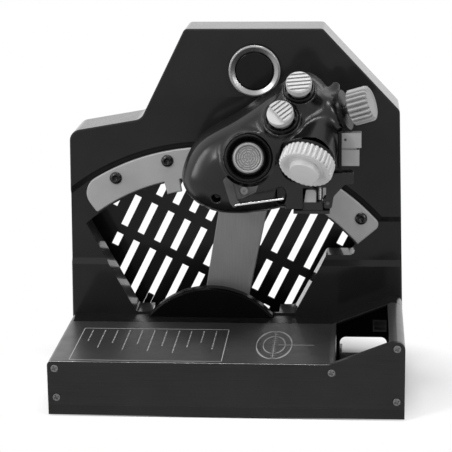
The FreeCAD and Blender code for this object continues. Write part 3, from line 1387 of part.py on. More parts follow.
def link_rod():
    """Bent rod from the foot of the strap into the oval hole."""
    foot = crank_foot()
    hole = grip_point(ROD_HOLE_AT)
    y_rod = foot.y - CRANK_GAP - CRANK_THICKNESS - LINK_RADIUS
    start = Vector(foot.x, y_rod, foot.z)
    bend = Vector(hole.x + 2.0, y_rod, hole.z + 0.2)
    shapes = [rod_y(foot.x, foot.z, LINK_RADIUS, y_rod, foot.y - CRANK_GAP - 0.4),
              Part.makeSphere(LINK_RADIUS, start),
              Part.makeCylinder(LINK_RADIUS, (bend - start).Length, start, bend - start),
              Part.makeSphere(LINK_RADIUS, bend),
              rod_y(bend.x, bend.z, LINK_RADIUS, y_rod, y_rod + 11.0)]
    return joined(shapes)


NODES = {
    "base_tray": base_tray,
    "rubber_feet": rubber_feet,
    "mounting_inserts": mounting_inserts,
    "front_panel": front_panel,
    "front_panel_screws": front_panel_screws,
    "base_cover": base_cover,
    "wall_plinth": wall_plinth,
    "bay_socket": bay_socket,
    "main_circuit_board": main_circuit_board,
    "wall_casing": wall_casing,
    "rear_cover": rear_cover,
    "rear_cover_screws": rear_cover_screws,
    "aft_detent_plate": aft_detent_plate,
    "fore_detent_plate": fore_detent_plate,
    "detent_plate_screws": detent_plate_screws,
    "hub_cover": hub_cover,
    "pivot_bracket": pivot_bracket,
    "pivot_bushes": pivot_bushes,
    "pivot_shaft": pivot_shaft,
    "friction_washer": friction_washer,
    "tension_nut": tension_nut,
    "sensor_magnet": sensor_magnet,
    "sensor_board": sensor_board,
    "lever_arm": lever_arm,
    "grip_neck": grip_neck,
    "neck_screws": neck_screws,
    "countermeasure_ring": countermeasure_ring,
    "countermeasure_button": countermeasure_button,
    "countermeasure_spring": countermeasure_spring,
    "countermeasure_switch": countermeasure_switch,
    "grip_body": grip_body,
    "grip_back_shell": grip_back_shell,
    "grip_screws": grip_screws,
    "cursor_cup": cursor_cup,
    "cursor_gimbal": cursor_gimbal,
    "cursor_stick": cursor_stick,
    "cursor_cap": cursor_cap,
    "upper_hat_bezel": upper_hat_bezel,
    "upper_hat_gimbal": upper_hat_gimbal,
    "upper_hat_stick": upper_hat_stick,
    "upper_hat_cap": upper_hat_cap,
    "thumb_bezel": thumb_bezel,
    "thumb_pin": thumb_pin,
    "thumb_switch": thumb_switch,
    "antenna_gasket": antenna_gasket,
    "antenna_wheel": antenna_wheel,
    "antenna_shaft": antenna_shaft,
    "range_flange": range_flange,
    "range_shaft": range_shaft,
    "range_knob": range_knob,
    "slide_key_guide": slide_key_guide,
    "slide_key": slide_key,
    "release_bracket": release_bracket,
    "release_pin": release_pin,
    "release_lever": release_lever,
    "release_spring": release_spring,
    "release_cam": release_cam,
    "release_crank": release_crank,
    "crank_screw": crank_screw,
    "link_rod": link_rod,
}


def build():
    os.makedirs("parts", exist_ok=True)
    for name, make in NODES.items():
        make().exportStep("parts/" + name + ".step")


build()
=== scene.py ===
import json
import math

import bmesh
import bpy
import numpy as np
from mathutils import Matrix, Vector


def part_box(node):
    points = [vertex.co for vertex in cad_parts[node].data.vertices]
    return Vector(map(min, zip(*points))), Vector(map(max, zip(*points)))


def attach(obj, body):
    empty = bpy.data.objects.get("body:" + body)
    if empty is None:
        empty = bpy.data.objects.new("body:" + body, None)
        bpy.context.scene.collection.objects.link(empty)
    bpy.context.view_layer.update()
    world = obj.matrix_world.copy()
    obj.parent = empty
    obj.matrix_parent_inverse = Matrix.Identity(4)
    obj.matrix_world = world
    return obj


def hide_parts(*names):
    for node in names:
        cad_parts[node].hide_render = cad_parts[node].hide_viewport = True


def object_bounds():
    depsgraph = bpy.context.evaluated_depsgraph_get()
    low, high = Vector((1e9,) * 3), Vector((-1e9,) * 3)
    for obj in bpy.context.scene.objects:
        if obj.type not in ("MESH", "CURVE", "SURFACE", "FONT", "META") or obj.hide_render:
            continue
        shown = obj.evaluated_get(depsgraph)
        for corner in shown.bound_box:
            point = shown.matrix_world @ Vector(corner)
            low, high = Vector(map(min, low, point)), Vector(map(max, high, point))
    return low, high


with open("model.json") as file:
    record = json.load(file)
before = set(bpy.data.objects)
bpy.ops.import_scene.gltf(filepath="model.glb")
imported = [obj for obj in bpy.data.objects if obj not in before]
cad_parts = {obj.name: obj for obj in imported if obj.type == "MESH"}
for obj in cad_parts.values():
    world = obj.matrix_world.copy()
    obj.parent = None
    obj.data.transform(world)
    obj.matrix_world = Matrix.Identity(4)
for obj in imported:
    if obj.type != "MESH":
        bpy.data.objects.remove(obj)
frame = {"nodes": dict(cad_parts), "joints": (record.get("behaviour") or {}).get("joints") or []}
cad_low, cad_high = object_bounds()
nodes = frame["nodes"]
scene = bpy.context.scene
MM = 0.001
FACING = Matrix.Rotation(math.pi / 2, 4, "X")   # turns a form's +Z to the front, −Y


def corners(node):
    """Lowest and highest corner of a node in mm."""
    return [Vector(corner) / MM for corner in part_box(node)]


# ---------------------------------------------------------------- materials

def new_material(name):
    material = bpy.data.materials.new(name)
    material.use_nodes = True
    tree = material.node_tree
    coords = tree.nodes.new("ShaderNodeTexCoord")
    return material, tree, tree.nodes["Principled BSDF"], coords.outputs["Object"]


def mapped(tree, source, scale=(1, 1, 1), turn=(0, 0, 0)):
    node = tree.nodes.new("ShaderNodeMapping")
    node.inputs["Scale"].default_value = scale
    node.inputs["Rotation"].default_value = turn
    tree.links.new(source, node.inputs["Vector"])
    return node.outputs["Vector"]


def noise(tree, source, scale, detail=3.0, rough=0.55):
    node = tree.nodes.new("ShaderNodeTexNoise")
    node.inputs["Scale"].default_value = scale
    node.inputs["Detail"].default_value = detail
    node.inputs["Roughness"].default_value = rough
    tree.links.new(source, node.inputs["Vector"])
    return node.outputs["Fac"]


def ramp(tree, source, low, high, out_low, out_high):
    """Value taken from one range to another and kept inside it."""
    node = tree.nodes.new("ShaderNodeMapRange")
    node.inputs["From Min"].default_value = low
    node.inputs["From Max"].default_value = high
    node.inputs["To Min"].default_value = out_low
    node.inputs["To Max"].default_value = out_high
    tree.links.new(source, node.inputs["Value"])
    return node.outputs["Result"]


def maths(tree, operation, a, b):
    node = tree.nodes.new("ShaderNodeMath")
    node.operation = operation
    for socket, value in zip(node.inputs, (a, b)):
        if isinstance(value, (int, float)):
            socket.default_value = value
        else:
            tree.links.new(value, socket)
    return node.outputs[0]


def mix_colour(tree, factor, first, second):
    node = tree.nodes.new("ShaderNodeMix")
    node.data_type = "RGBA"
    tree.links.new(factor, node.inputs[0])
    for socket, value in ((node.inputs[6], first), (node.inputs[7], second)):
        if isinstance(value, tuple):
            socket.default_value = (*value, 1)
        else:
            tree.links.new(value, socket)
    return node.outputs[2]


def bump(tree, height, strength, depth, before=None):
    node = tree.nodes.new("ShaderNodeBump")
    node.inputs["Strength"].default_value = strength
    node.inputs["Distance"].default_value = depth
    tree.links.new(height, node.inputs["Height"])
    if before is not None:
        tree.links.new(before, node.inputs["Normal"])
    return node.outputs["Normal"]


CLOUD_SCALE = 35.0
GLOSS_SCALE = 90.0
LACQUER_IOR = 1.22


def surface(name, dark, light, rough, metal=0.0, grain=1600.0, grain_depth=0.00004, grain_strength=0.35,
            stretch=None, coat=0.0, coat_rough=0.10, spec=0.5, edge=0.0007, vary=0.05):
    """A painted, moulded or machined surface: cloudy colour, uneven gloss, fine grain and softened edges.

    A stretch turns the grain into brushed lines. The edge is the radius of the softening in metres.
    """
    material, tree, shader, coords = new_material(name)
    level = ramp(tree, noise(tree, coords, CLOUD_SCALE, 4.0), 0.3, 0.7, 0.0, 1.0)
    colour = mix_colour(tree, level, dark, light)
    if stretch:
        height = noise(tree, mapped(tree, coords, stretch), 1.0, 5.0, 0.7)
        tone = ramp(tree, height, 0.3, 0.7, 0.0, 1.0)
        colour = mix_colour(tree, tone, colour, tuple(min(1.0, 1.25 * c) for c in light))
    else:
        height = noise(tree, coords, grain, 3.0, 0.6)
    tree.links.new(colour, shader.inputs["Base Color"])
    gloss = ramp(tree, noise(tree, coords, GLOSS_SCALE, 4.0, 0.6), 0.3, 0.7, rough - vary, rough + vary)
    tree.links.new(gloss, shader.inputs["Roughness"])
    shader.inputs["Metallic"].default_value = metal
    shader.inputs["Coat Weight"].default_value = coat
    shader.inputs["Coat IOR"].default_value = LACQUER_IOR
    shader.inputs["Coat Roughness"].default_value = coat_rough
    shader.inputs["Specular IOR Level"].default_value = spec
    rounded = None
    if edge:
        bevel = tree.nodes.new("ShaderNodeBevel")
        bevel.samples = 6
        bevel.inputs["Radius"].default_value = edge
        rounded = bevel.outputs["Normal"]
    tree.links.new(bump(tree, height, grain_strength, grain_depth, rounded), shader.inputs["Normal"])
    return material


def grey(value):
    return (value, value, value)


paint = surface("black_powder_paint", grey(0.0045), grey(0.0075), 0.42, grain=1500, grain_depth=0.00004,
                grain_strength=0.3, spec=0.10, coat=1.0, edge=0.0009)
# Satin black paint of the base's top, given a lighter colour than the wall's paint as a painted sheen of the
# light the top catches
sheen_top_paint = surface("satin_black_paint_with_painted_sheen", grey(0.018), grey(0.026), 0.36, grain=1900, grain_depth=0.00004,
                    grain_strength=0.35, spec=0.45, coat=0.6, coat_rough=0.28, edge=0.0009)
gloss_paint = surface("black_gloss_paint", grey(0.004), grey(0.007), 0.22, grain=500, grain_depth=0.00002,
                      grain_strength=0.15, spec=0.30, edge=0.0010)
hub_paint = surface("black_hub_paint", grey(0.0012), grey(0.002), 0.24, grain=900, grain_depth=0.00001,
                    grain_strength=0.15, spec=0.05, edge=0.0012)
brushed_black = surface("black_brushed_metal", grey(0.008), grey(0.014), 0.40, metal=0.1,
                        stretch=(30, 30, 2600), grain_depth=0.00003, grain_strength=0.5, spec=0.1, coat=0.45,
                        edge=0.0009)
blasted = surface("blasted_grey_plate", grey(0.25), grey(0.30), 0.50, metal=0.3, grain=2600,
                  grain_depth=0.00004, grain_strength=0.5, edge=0.0006)
brushed_grey = surface("brushed_grey_lever", grey(0.12), grey(0.155), 0.42, metal=0.5,
                       stretch=(2200, 60, 40), grain_depth=0.00002, grain_strength=0.3, edge=0.0005)
ring_metal = surface("bright_ring_metal", grey(0.26), grey(0.32), 0.30, metal=0.85, grain=900,
                     grain_depth=0.00001, grain_strength=0.2, edge=0.0006)
bright_screw = surface("bright_screw_metal", grey(0.50), grey(0.60), 0.26, metal=0.95, grain=1800,
                       grain_depth=0.00001, grain_strength=0.25, edge=0.0002)
panel_screw = surface("dark_screw_metal", grey(0.12), grey(0.17), 0.32, metal=0.8, grain=1800,
                      grain_depth=0.00001, grain_strength=0.25, edge=0.0002)
black_screw = surface("black_screw_metal", grey(0.010), grey(0.016), 0.24, metal=0.5, grain=1800,
                      grain_depth=0.00001, grain_strength=0.25, spec=0.4, edge=0.0003)
dark_steel = surface("dark_steel", grey(0.05), grey(0.09), 0.30, metal=0.8, grain=1400,
                     grain_depth=0.00001, grain_strength=0.3, edge=0.0003)
black_steel = surface("black_steel", grey(0.008), grey(0.014), 0.26, metal=0.3, grain=1400,
                      grain_depth=0.00001, grain_strength=0.25, spec=0.4, edge=0.0005)
rod_steel = surface("bright_rod_steel", grey(0.55), grey(0.66), 0.24, metal=0.9, grain=1400,
                    grain_depth=0.00001, grain_strength=0.2, edge=0.0)
brass = surface("brass", (0.55, 0.38, 0.13), (0.66, 0.47, 0.18), 0.30, metal=1.0, grain=1400,
                grain_depth=0.00001, grain_strength=0.3, edge=0.0003)
gloss_black = surface("gloss_black_plastic", grey(0.004), grey(0.006), 0.14, grain=900,
                      grain_depth=0.00001, grain_strength=0.1, spec=0.12, edge=0.0006)
grip_plastic = surface("black_grip_plastic", grey(0.0015), grey(0.003), 0.26, grain=3200,
                       grain_depth=0.000003, grain_strength=0.12, spec=0.34, edge=0.0, vary=0.015)
trim_plastic = surface("black_trim_plastic", grey(0.003), grey(0.006), 0.26, grain=2200,
                       grain_depth=0.00002, grain_strength=0.25, spec=0.12, edge=0.0006)
cap_plastic = surface("grey_cap_plastic", grey(0.34), grey(0.40), 0.42, metal=0.1, grain=2600,
                      grain_depth=0.00003, grain_strength=0.35, edge=0.0004)
wheel_plastic = surface("light_grey_wheel_plastic", grey(0.42), grey(0.48), 0.42, metal=0.1, grain=2600,
                        grain_depth=0.00003, grain_strength=0.35, edge=0.0004)
knob_plastic = surface("grey_knob_plastic", grey(0.24), grey(0.30), 0.42, metal=0.1, grain=2600,
                       grain_depth=0.00003, grain_strength=0.35, edge=0.0004)
disc_plastic = surface("grey_disc_plastic", grey(0.19), grey(0.25), 0.36, metal=0.2, grain=2600,
                       grain_depth=0.00002, grain_strength=0.3, edge=0.0)
socket_grey = surface("grey_socket_plastic", grey(0.16), grey(0.22), 0.45, grain=1500)
rubber = surface("black_rubber", grey(0.006), grey(0.010), 0.72, grain=1200, grain_depth=0.00006,
                 grain_strength=0.4, spec=0.12)
board = surface("board_green", (0.01, 0.09, 0.03), (0.02, 0.14, 0.05), 0.35, grain=700)
print_ink = surface("light_grey_print", grey(0.34), grey(0.42), 0.55, grain=2000, edge=0.0)

FINISHES = {
    paint: ("wall_casing", "base_tray", "rear_cover", "pivot_bracket"),
    sheen_top_paint: ("base_cover",),
    hub_paint: ("hub_cover",),
    gloss_paint: ("wall_plinth",),
    brushed_black: ("front_panel",),
    blasted: ("aft_detent_plate", "fore_detent_plate"),
    brushed_grey: ("lever_arm", "grip_neck"),
    ring_metal: ("countermeasure_ring",),
    bright_screw: ("neck_screws", "grip_screws"),
    panel_screw: ("front_panel_screws", "crank_screw"),
    black_screw: ("detent_plate_screws", "rear_cover_screws"),
    dark_steel: ("release_crank", "countermeasure_spring", "pivot_shaft", "friction_washer", "tension_nut",
                 "sensor_magnet", "release_pin", "thumb_pin", "antenna_shaft", "range_shaft", "cursor_stick",
                 "upper_hat_stick"),
    black_steel: ("release_bracket", "release_lever"),
    rod_steel: ("link_rod", "release_spring"),
    brass: ("mounting_inserts", "pivot_bushes"),
    gloss_black: ("countermeasure_button",),
    grip_plastic: ("grip_body", "grip_back_shell"),
    trim_plastic: ("cursor_cup", "upper_hat_bezel", "thumb_bezel", "range_flange", "slide_key_guide",
                   "countermeasure_switch", "cursor_gimbal", "upper_hat_gimbal"),
    wheel_plastic: ("antenna_wheel",),
    cap_plastic: ("upper_hat_cap", "thumb_switch", "cursor_cap"),
    knob_plastic: ("range_knob", "slide_key", "release_cam"),
    socket_grey: ("bay_socket",),
    rubber: ("rubber_feet", "antenna_gasket"),
    board: ("main_circuit_board", "sensor_board"),
}
for finish, names in FINISHES.items():
    for name in names:
        for slot in nodes[name].material_slots:
            slot.material = finish


# ---------------------------------------------------------------- pieces and places

def new_piece(name, mesh, body, slot, finish, *replaced, smooth=True):
    """Object from a mesh in world coordinates, riding on a body and standing for CAD nodes."""
    piece = bpy.data.objects.new(name, mesh)
    scene.collection.objects.link(piece)
    mesh.materials.clear()
    mesh.materials.append(finish)
    if smooth:
        mesh.shade_smooth()
    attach(piece, body)
    if replaced:
        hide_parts(*replaced)
    return piece


def mesh_from(name, points, faces):
    """Closed mesh with every face turned outwards."""
    mesh = bpy.data.meshes.new(name)
    mesh.from_pydata([tuple(point) for point in points], [], faces)
    whole = bmesh.new()
    whole.from_mesh(mesh)
    bmesh.ops.recalc_face_normals(whole, faces=whole.faces)
    whole.to_mesh(mesh)
    whole.free()
    mesh.update()
    return mesh


CRANK = (6.8, 97.0, 30.3)   # crank pin in the grip: forward, off the wall and up, in mm
joints = {joint["name"]: joint for joint in frame["joints"]}
GRIP_ORIGIN = Vector(joints["crank_turn"]["pos_m"]) / MM - Vector((CRANK[0], -CRANK[1], CRANK[2]))


def grip_point(forward, off_wall, up):
    """World place in mm of a point given forward, off the wall and up in the grip."""
    return GRIP_ORIGIN + Vector((forward, -off_wall, up))


# ---------------------------------------------------------------- grip

# Outline of the body seen from the front, as (forward, up), and its size at each depth from the back
GRIP_OUTLINE = ((-42.2, 36.2), (-29.2, 61.2), (0.8, 80.2), (30.8, 100.2), (50.8, 109.2), (66.8, 96.2),
                (73.8, 69.2), (68.8, 42.2), (50.8, 18.2), (17.8, 7.7), (-15.2, 7.2), (-36.2, 18.2))
GRIP_MIDDLE = (12.8, 44.2)
GRIP_BACK_Y = 28.0
GRIP_DEPTH = 87.0
GRIP_SCALES = ((0.0, 0.60), (8.0, 0.80), (24.0, 0.95), (40.0, 1.0), (55.0, 0.99), (67.0, 0.95), (76.0, 0.88),
               (83.0, 0.78), (87.0, 0.68))
GRIP_STEP = 0.9

# Seats of the controls as (forward, off the wall, up), those that turn or tilt with their axis in the world
CURSOR = ((9.8, 99.0, 54.2), (0.05, -0.97, 0.22))
UPPER_HAT = ((46.2, 90.0, 103.9), (0.0, -0.72, 0.69))
THUMB = ((33.8, 99.0, 84.0), (-0.12, -0.75, 0.65))
WHEEL = ((52.4, 106.0, 51.3), (-0.26, -0.72, -0.64))
RANGE = ((91.1, 79.0, 89.2), (0.93, -0.215, 0.304))
KEY = (84.3, 79.0, 57.4)
RELEASE = (66.8, 80.0, 17.7)
DIMPLE = (-14.3, 90.0, 22.5)
ROD_HOLE = (40.0 - GRIP_ORIGIN.x, 97.0, 24.4)


def smooth_loop(points, parts):
    """Closed Catmull-Rom curve through points."""
    p = np.array(points, dtype=np.float64)
    t = np.arange(parts)[:, None] / parts
    runs = []
    for i in range(len(p)):
        a, b, c, d = p[i - 1], p[i], p[(i + 1) % len(p)], p[(i + 2) % len(p)]
        runs.append(0.5 * (2 * b + (c - a) * t + (2 * a - 5 * b + 4 * c - d) * t ** 2
                           + (3 * b - a - 3 * c + d) * t ** 3))
    return np.concatenate(runs)


def outline_distance(xs, zs, loop):
    """Signed distance to a closed outline on a flat grid, negative inside."""
    gx, gz = np.meshgrid(xs, zs, indexing="ij")
    best = np.full(gx.shape, 1e9)
    inside = np.zeros(gx.shape, dtype=bool)
    for (ax, az), (bx, bz) in zip(loop, np.roll(loop, -1, axis=0)):
        run = (bx - ax) ** 2 + (bz - az) ** 2
        t = np.clip(((gx - ax) * (bx - ax) + (gz - az) * (bz - az)) / run, 0, 1)
        best = np.minimum(best, (gx - ax - t * (bx - ax)) ** 2 + (gz - az - t * (bz - az)) ** 2)
        crosses = (az > gz) != (bz > gz)
        inside ^= crosses & (gx < (bx - ax) * (gz - az) / (bz - az + 1e-12) + ax)
    return np.where(inside, -1, 1) * np.sqrt(best)


def sample_flat(field, low, step, x, z):
    """Value of a flat grid between its points."""
    u = np.clip((x - low[0]) / step, 0, field.shape[0] - 1.001)
    v = np.clip((z - low[1]) / step, 0, field.shape[1] - 1.001)
    i, j = u.astype(int), v.astype(int)
    s, t = u - i, v - j
    return (field[i, j] * (1 - s) * (1 - t) + field[i + 1, j] * s * (1 - t)
            + field[i, j + 1] * (1 - s) * t + field[i + 1, j + 1] * s * t)


def smooth_min(a, b, width):
    """Union of two distance fields with a fillet between them."""
    h = np.clip(0.5 + 0.5 * (b - a) / width, 0, 1)
    return b + (a - b) * h - width * h * (1 - h)


def smooth_max(a, b, width):
    return -smooth_min(-a, -b, width)


def round_post(grid, at, axis, profile, low, high):
    """Distance to a turned post along an axis; profile gives its radius along the axis."""
    centre = np.array(grip_point(*at))
    way = np.array(Vector(axis).normalized())
    rel = [g - c for g, c in zip(grid, centre)]
    along = rel[0] * way[0] + rel[1] * way[1] + rel[2] * way[2]
    square = rel[0] ** 2 + rel[1] ** 2 + rel[2] ** 2 - along ** 2
    reach = np.sqrt(np.maximum(square, 0)) - profile(np.clip(along, low, high))
    return np.maximum(reach, np.maximum(low - along, along - high))


def straight(radius):
    return lambda along: radius


def cone(low, low_radius, high, high_radius):
    return lambda along: low_radius + (high_radius - low_radius) * (along - low) / (high - low)


def block(grid, low, high):
    """Distance to a box with sides along the axes."""
    parts = [np.abs(g - (a + b) / 2) - (b - a) / 2 for g, a, b in zip(grid, low, high)]
    outside = np.sqrt(sum(np.maximum(part, 0) ** 2 for part in parts))
    return outside + np.minimum(np.maximum(parts[0], np.maximum(parts[1], parts[2])), 0)


def grip_field(grid):
    """Distance field of the grip: a tapering body that runs smoothly into the seats of its controls."""
    x, y, z = grid
    loop = smooth_loop(GRIP_OUTLINE, 10)
    low, high, step = (-110.0, -60.0), (150.0, 180.0), 1.0
    flat = outline_distance(*(np.arange(a, b, step) for a, b in zip(low, high)), loop)
    depth = GRIP_BACK_Y - y
    scale = np.interp(depth, *zip(*GRIP_SCALES))
    f = (x - GRIP_ORIGIN.x - GRIP_MIDDLE[0]) / scale + GRIP_MIDDLE[0]
    u = (z - GRIP_ORIGIN.z - GRIP_MIDDLE[1]) / scale + GRIP_MIDDLE[1]
    side = sample_flat(flat, low, step, f, u) * scale
    body = smooth_max(side, np.abs(depth - GRIP_DEPTH / 2) - GRIP_DEPTH / 2, 22.0)
    body = smooth_min(body, round_post(grid, *CURSOR, cone(-22, 20.5, -0.6, 18.3), -22, -0.6), 5.0)
    body = smooth_min(body, round_post(grid, *THUMB, cone(-24, 16.5, -3.2, 13.4), -24, -3.2), 7.0)
    body = smooth_min(body, round_post(grid, *UPPER_HAT, cone(-30, 16.0, -3.2, 12.4), -30, -3.2), 8.0)
    body = smooth_min(body, round_post(grid, *WHEEL, cone(-76, 3.0, -8.6, 18.4), -76, -8.6), 5.0)
    horn = round_post(grid, *RANGE, lambda along: 8.2 + 6.6 * np.exp((along + 14.0) / 6.0), -50, -14.2)
    body = smooth_min(body, 0.8 * horn, 9.0)
    key, release = grip_point(*KEY), grip_point(*RELEASE)
    body = smooth_min(body, block(grid, key + Vector((-26, -11.5, -12)), key + Vector((-9.8, 11.5, 12))), 6.0)
    body = smooth_min(body, block(grid, release + Vector((-30, -9, -4)), release + Vector((-7, 9, 26))), 6.0)
    body = smooth_min(body, round_post(grid, CRANK, (0, -1, 0), straight(4.3), -9, 0.0), 3.0)
    rod, dimple = grip_point(*ROD_HOLE), grip_point(*DIMPLE)
    oval = np.sqrt((x - rod.x) ** 2 + ((z - rod.z) / 1.9) ** 2) - 4.0
    cuts = [
        round_post(grid, *CURSOR, straight(17.4), -14.5, 40),
        round_post(grid, *UPPER_HAT, straight(11.0), -13.5, 30),
        round_post(grid, *THUMB, straight(12.0), -13.5, 30),
        round_post(grid, *WHEEL, straight(21.5), -8.6, 50),
        round_post(grid, *RANGE, straight(16.0), -14.2, 40),
        block(grid, key + Vector((-9.8, -14, -16)), key + Vector((30, 14, 16))),
        block(grid, key + Vector((-16, -8.5, -5)), key + Vector((0, 8.5, 5))),
        block(grid, release + Vector((-18, -40, -20)), release + Vector((40, 7.6, 12.2))),
        block(grid, release + Vector((-10.4, -40, 10)), release + Vector((40, 7.6, 25))),
        np.maximum(oval, y + 40.0),
        np.maximum(np.sqrt((x - dimple.x) ** 2 + (z - dimple.z) ** 2) - 3.3, y + 40.0),
        round_post(grid, CRANK, (0, -1, 0), straight(1.8), -7, 5),
    ]
    for cut in cuts:
        body = np.maximum(body, -cut)
    return body


def net_mesh(name, field, low, step):
    """Closed mesh through the zero level of a distance field."""
    cells = np.array(field.shape) - 1
    sums = np.zeros((*cells, 3))
    count = np.zeros(cells)
    for axis in range(3):
        first = [slice(None)] * 3
        second = [slice(None)] * 3
        first[axis], second[axis] = slice(0, -1), slice(1, None)
        a, b = field[tuple(first)], field[tuple(second)]
        crosses = (a < 0) != (b < 0)
        t = np.where(crosses, a / np.where(crosses, a - b, 1), 0)
        across, over = (axis + 1) % 3, (axis + 2) % 3
        for i in (0, 1):
            for j in (0, 1):
                part = [slice(None)] * 3
                part[across] = slice(i, i + cells[across])
                part[over] = slice(j, j + cells[over])
                met = crosses[tuple(part)]
                sums[..., axis] += t[tuple(part)]
                sums[..., across] += met * i
                sums[..., over] += met * j
                count += met
    used = count > 0
    index = np.full(cells, -1)
    index[used] = np.arange(used.sum())
    places = np.argwhere(used) + sums[used] / count[used][:, None]
    faces = []
    for axis in range(3):
        across, over = (axis + 1) % 3, (axis + 2) % 3
        first = [slice(1, -1)] * 3
        second = [slice(1, -1)] * 3
        first[axis], second[axis] = slice(0, -1), slice(1, None)
        a, b = field[tuple(first)] < 0, field[tuple(second)] < 0
        for outward in (True, False):
            edges = np.argwhere(a & ~b if outward else ~a & b)
            edges[:, across] += 1
            edges[:, over] += 1
            corners = []
            for i, j in ((-1, -1), (0, -1), (0, 0), (-1, 0)):
                cell = edges.copy()
                cell[:, across] += i
                cell[:, over] += j
                corners.append(index[cell[:, 0], cell[:, 1], cell[:, 2]])
            quads = np.stack(corners if outward else corners[::-1], axis=1)
            faces.append(quads)
    slope = np.stack(np.gradient(field), axis=-1)
    for _ in range(3):
        base = np.clip(places.astype(int), 0, np.array(field.shape) - 2)
        share = places - base
        value = np.zeros(len(places))
        steep = np.zeros((len(places), 3))
        for corner in np.ndindex(2, 2, 2):
            weight = np.prod(np.where(corner, share, 1 - share), axis=1)
            at = tuple((base + corner).T)
            value += weight * field[at]
            steep += weight[:, None] * slope[at]
        move = value[:, None] * steep / np.maximum((steep ** 2).sum(axis=1), 0.3)[:, None]
        places -= np.clip(move, -0.3, 0.3)
    return mesh_from(name, (np.array(low) + places * step) * MM, np.concatenate(faces).tolist())


def grip_mesh():
    step = GRIP_STEP * 1
    low = Vector(grip_point(-48, 110, -3))
    high = Vector(grip_point(90, 5, 124))
    ticks = [np.arange(a, b, step) for a, b in zip(low, high)]
    grid = np.meshgrid(*ticks, indexing="ij")
    return net_mesh("grip_moulding", grip_field(grid), low, step)


new_piece("grip_moulding", grip_mesh(), "throttle", "black_grip", grip_plastic, "grip_body", "grip_back_shell")


# ---------------------------------------------------------------- ways to make a mesh

def control_frame(at, axis):
    """Matrix whose Z is a control's axis, in metres."""
    turn = Vector(axis).normalized().to_track_quat("Z", "Y").to_matrix().to_4x4()
    return Matrix.Translation(grip_point(*at) * MM) @ turn


def polar_point(place, radius, angle, height):
    """Point about the local axis of a place, from mm to metres."""
    return place @ (Vector((radius * math.cos(angle), radius * math.sin(angle), height)) * MM)


def band_faces(first, second, parts):
    """Faces between two rings of points, given by where each ring starts."""
    faces = []
    for i in range(parts):
        j = (i + 1) % parts
        faces.append((first + i, first + j, second + j, second + i))
    return faces


def turned_mesh(name, place, profile, parts=96, ripple=None, hollow=False):
    """Closed turned form through (radius, height) in mm; ripple changes the radius around the axis.

    A hollow form joins its last row to its first and has no end faces.
    """
    points, faces = [], []
    for row, (radius, height) in enumerate(profile):
        for i in range(parts):
            angle = math.tau * i / parts
            points.append(polar_point(place, radius + (ripple(angle, row) if ripple else 0.0), angle, height))
    for row in range(len(profile) - 1):
        faces += band_faces(row * parts, (row + 1) * parts, parts)
    last = (len(profile) - 1) * parts
    if hollow:
        faces += band_faces(last, 0, parts)
    else:
        faces += [tuple(range(parts))[::-1], tuple(range(last, last + parts))]
    return mesh_from(name, points, faces)


def cut_away(mesh, tools, overlapping=False):
    """Mesh with closed tools cut out of it."""
    body = bpy.data.objects.new("cutting_body", mesh)
    scene.collection.objects.link(body)
    tool = bpy.data.objects.new("cutting_tool", tools)
    scene.collection.objects.link(tool)
    cut = body.modifiers.new("cut", "BOOLEAN")
    cut.object = tool
    cut.solver = "EXACT"
    cut.use_self = overlapping
    result = bpy.data.meshes.new_from_object(body.evaluated_get(bpy.context.evaluated_depsgraph_get()))
    bpy.data.objects.remove(body)
    bpy.data.objects.remove(tool)
    return result


def blocks_mesh(name, boxes, place=Matrix()):
    """One mesh of separate blocks, each given by two corners in mm."""
    points, faces = [], []
    order = ((0, 1, 3, 2), (4, 6, 7, 5), (0, 4, 5, 1), (2, 3, 7, 6), (0, 2, 6, 4), (1, 5, 7, 3))
    for low, high in boxes:
        start = len(points)
        for x in (low[0], high[0]):
            for y in (low[1], high[1]):
                for z in (low[2], high[2]):
                    points.append(place @ (Vector((x, y, z)) * MM))
        faces += [tuple(start + k for k in face) for face in order]
    return mesh_from(name, points, faces)


def joined_mesh(name, meshes):
    whole = bmesh.new()
    for mesh in meshes:
        whole.from_mesh(mesh)
    result = bpy.data.meshes.new(name)
    whole.to_mesh(result)
    whole.free()
    return result


# ---------------------------------------------------------------- controls on the grip

def retilt(node, name, body, slot, finish, old, new):
    """Copy of a hat's piece, leant and set as the real one is."""
    start, end = control_frame(*old), control_frame(*new)
    spin = Vector(old[1]).normalized().rotation_difference(Vector(new[1]).normalized()).to_matrix().to_4x4()
    mesh = nodes[node].data.copy()
    mesh.name = name
    mesh.transform(Matrix.Translation(end.translation) @ spin @ Matrix.Translation(-start.translation))
    new_piece(name, mesh, body, slot, finish, node, smooth=False)


# The seats of the two hats in the solids, from where their shown pieces are leant over
SOLID_UPPER_HAT = ((46.3, 90.0, 105.7), (0.0, -0.87, 0.50))
SOLID_THUMB = ((34.4, 99.0, 84.8), (-0.18, -0.90, 0.38))
retilt("upper_hat_bezel", "upper_hat_collar", "throttle", "black_trim", trim_plastic, SOLID_UPPER_HAT, UPPER_HAT)
retilt("upper_hat_cap", "upper_hat_ridged_cap", "upper_hat", "grey_knob", cap_plastic, SOLID_UPPER_HAT,
       UPPER_HAT)
retilt("thumb_bezel", "thumb_collar", "throttle", "black_trim", trim_plastic, SOLID_THUMB, THUMB)
retilt("thumb_switch", "thumb_ridged_cap", "thumb_rocker", "grey_knob", cap_plastic, SOLID_THUMB, THUMB)


def flutes(count, depths, power):
    """Ripple of a fluted rim, with its own depth in mm in each row of the profile."""
    return lambda angle, row: -depths[row] * (0.5 - 0.5 * math.cos(count * angle)) ** power


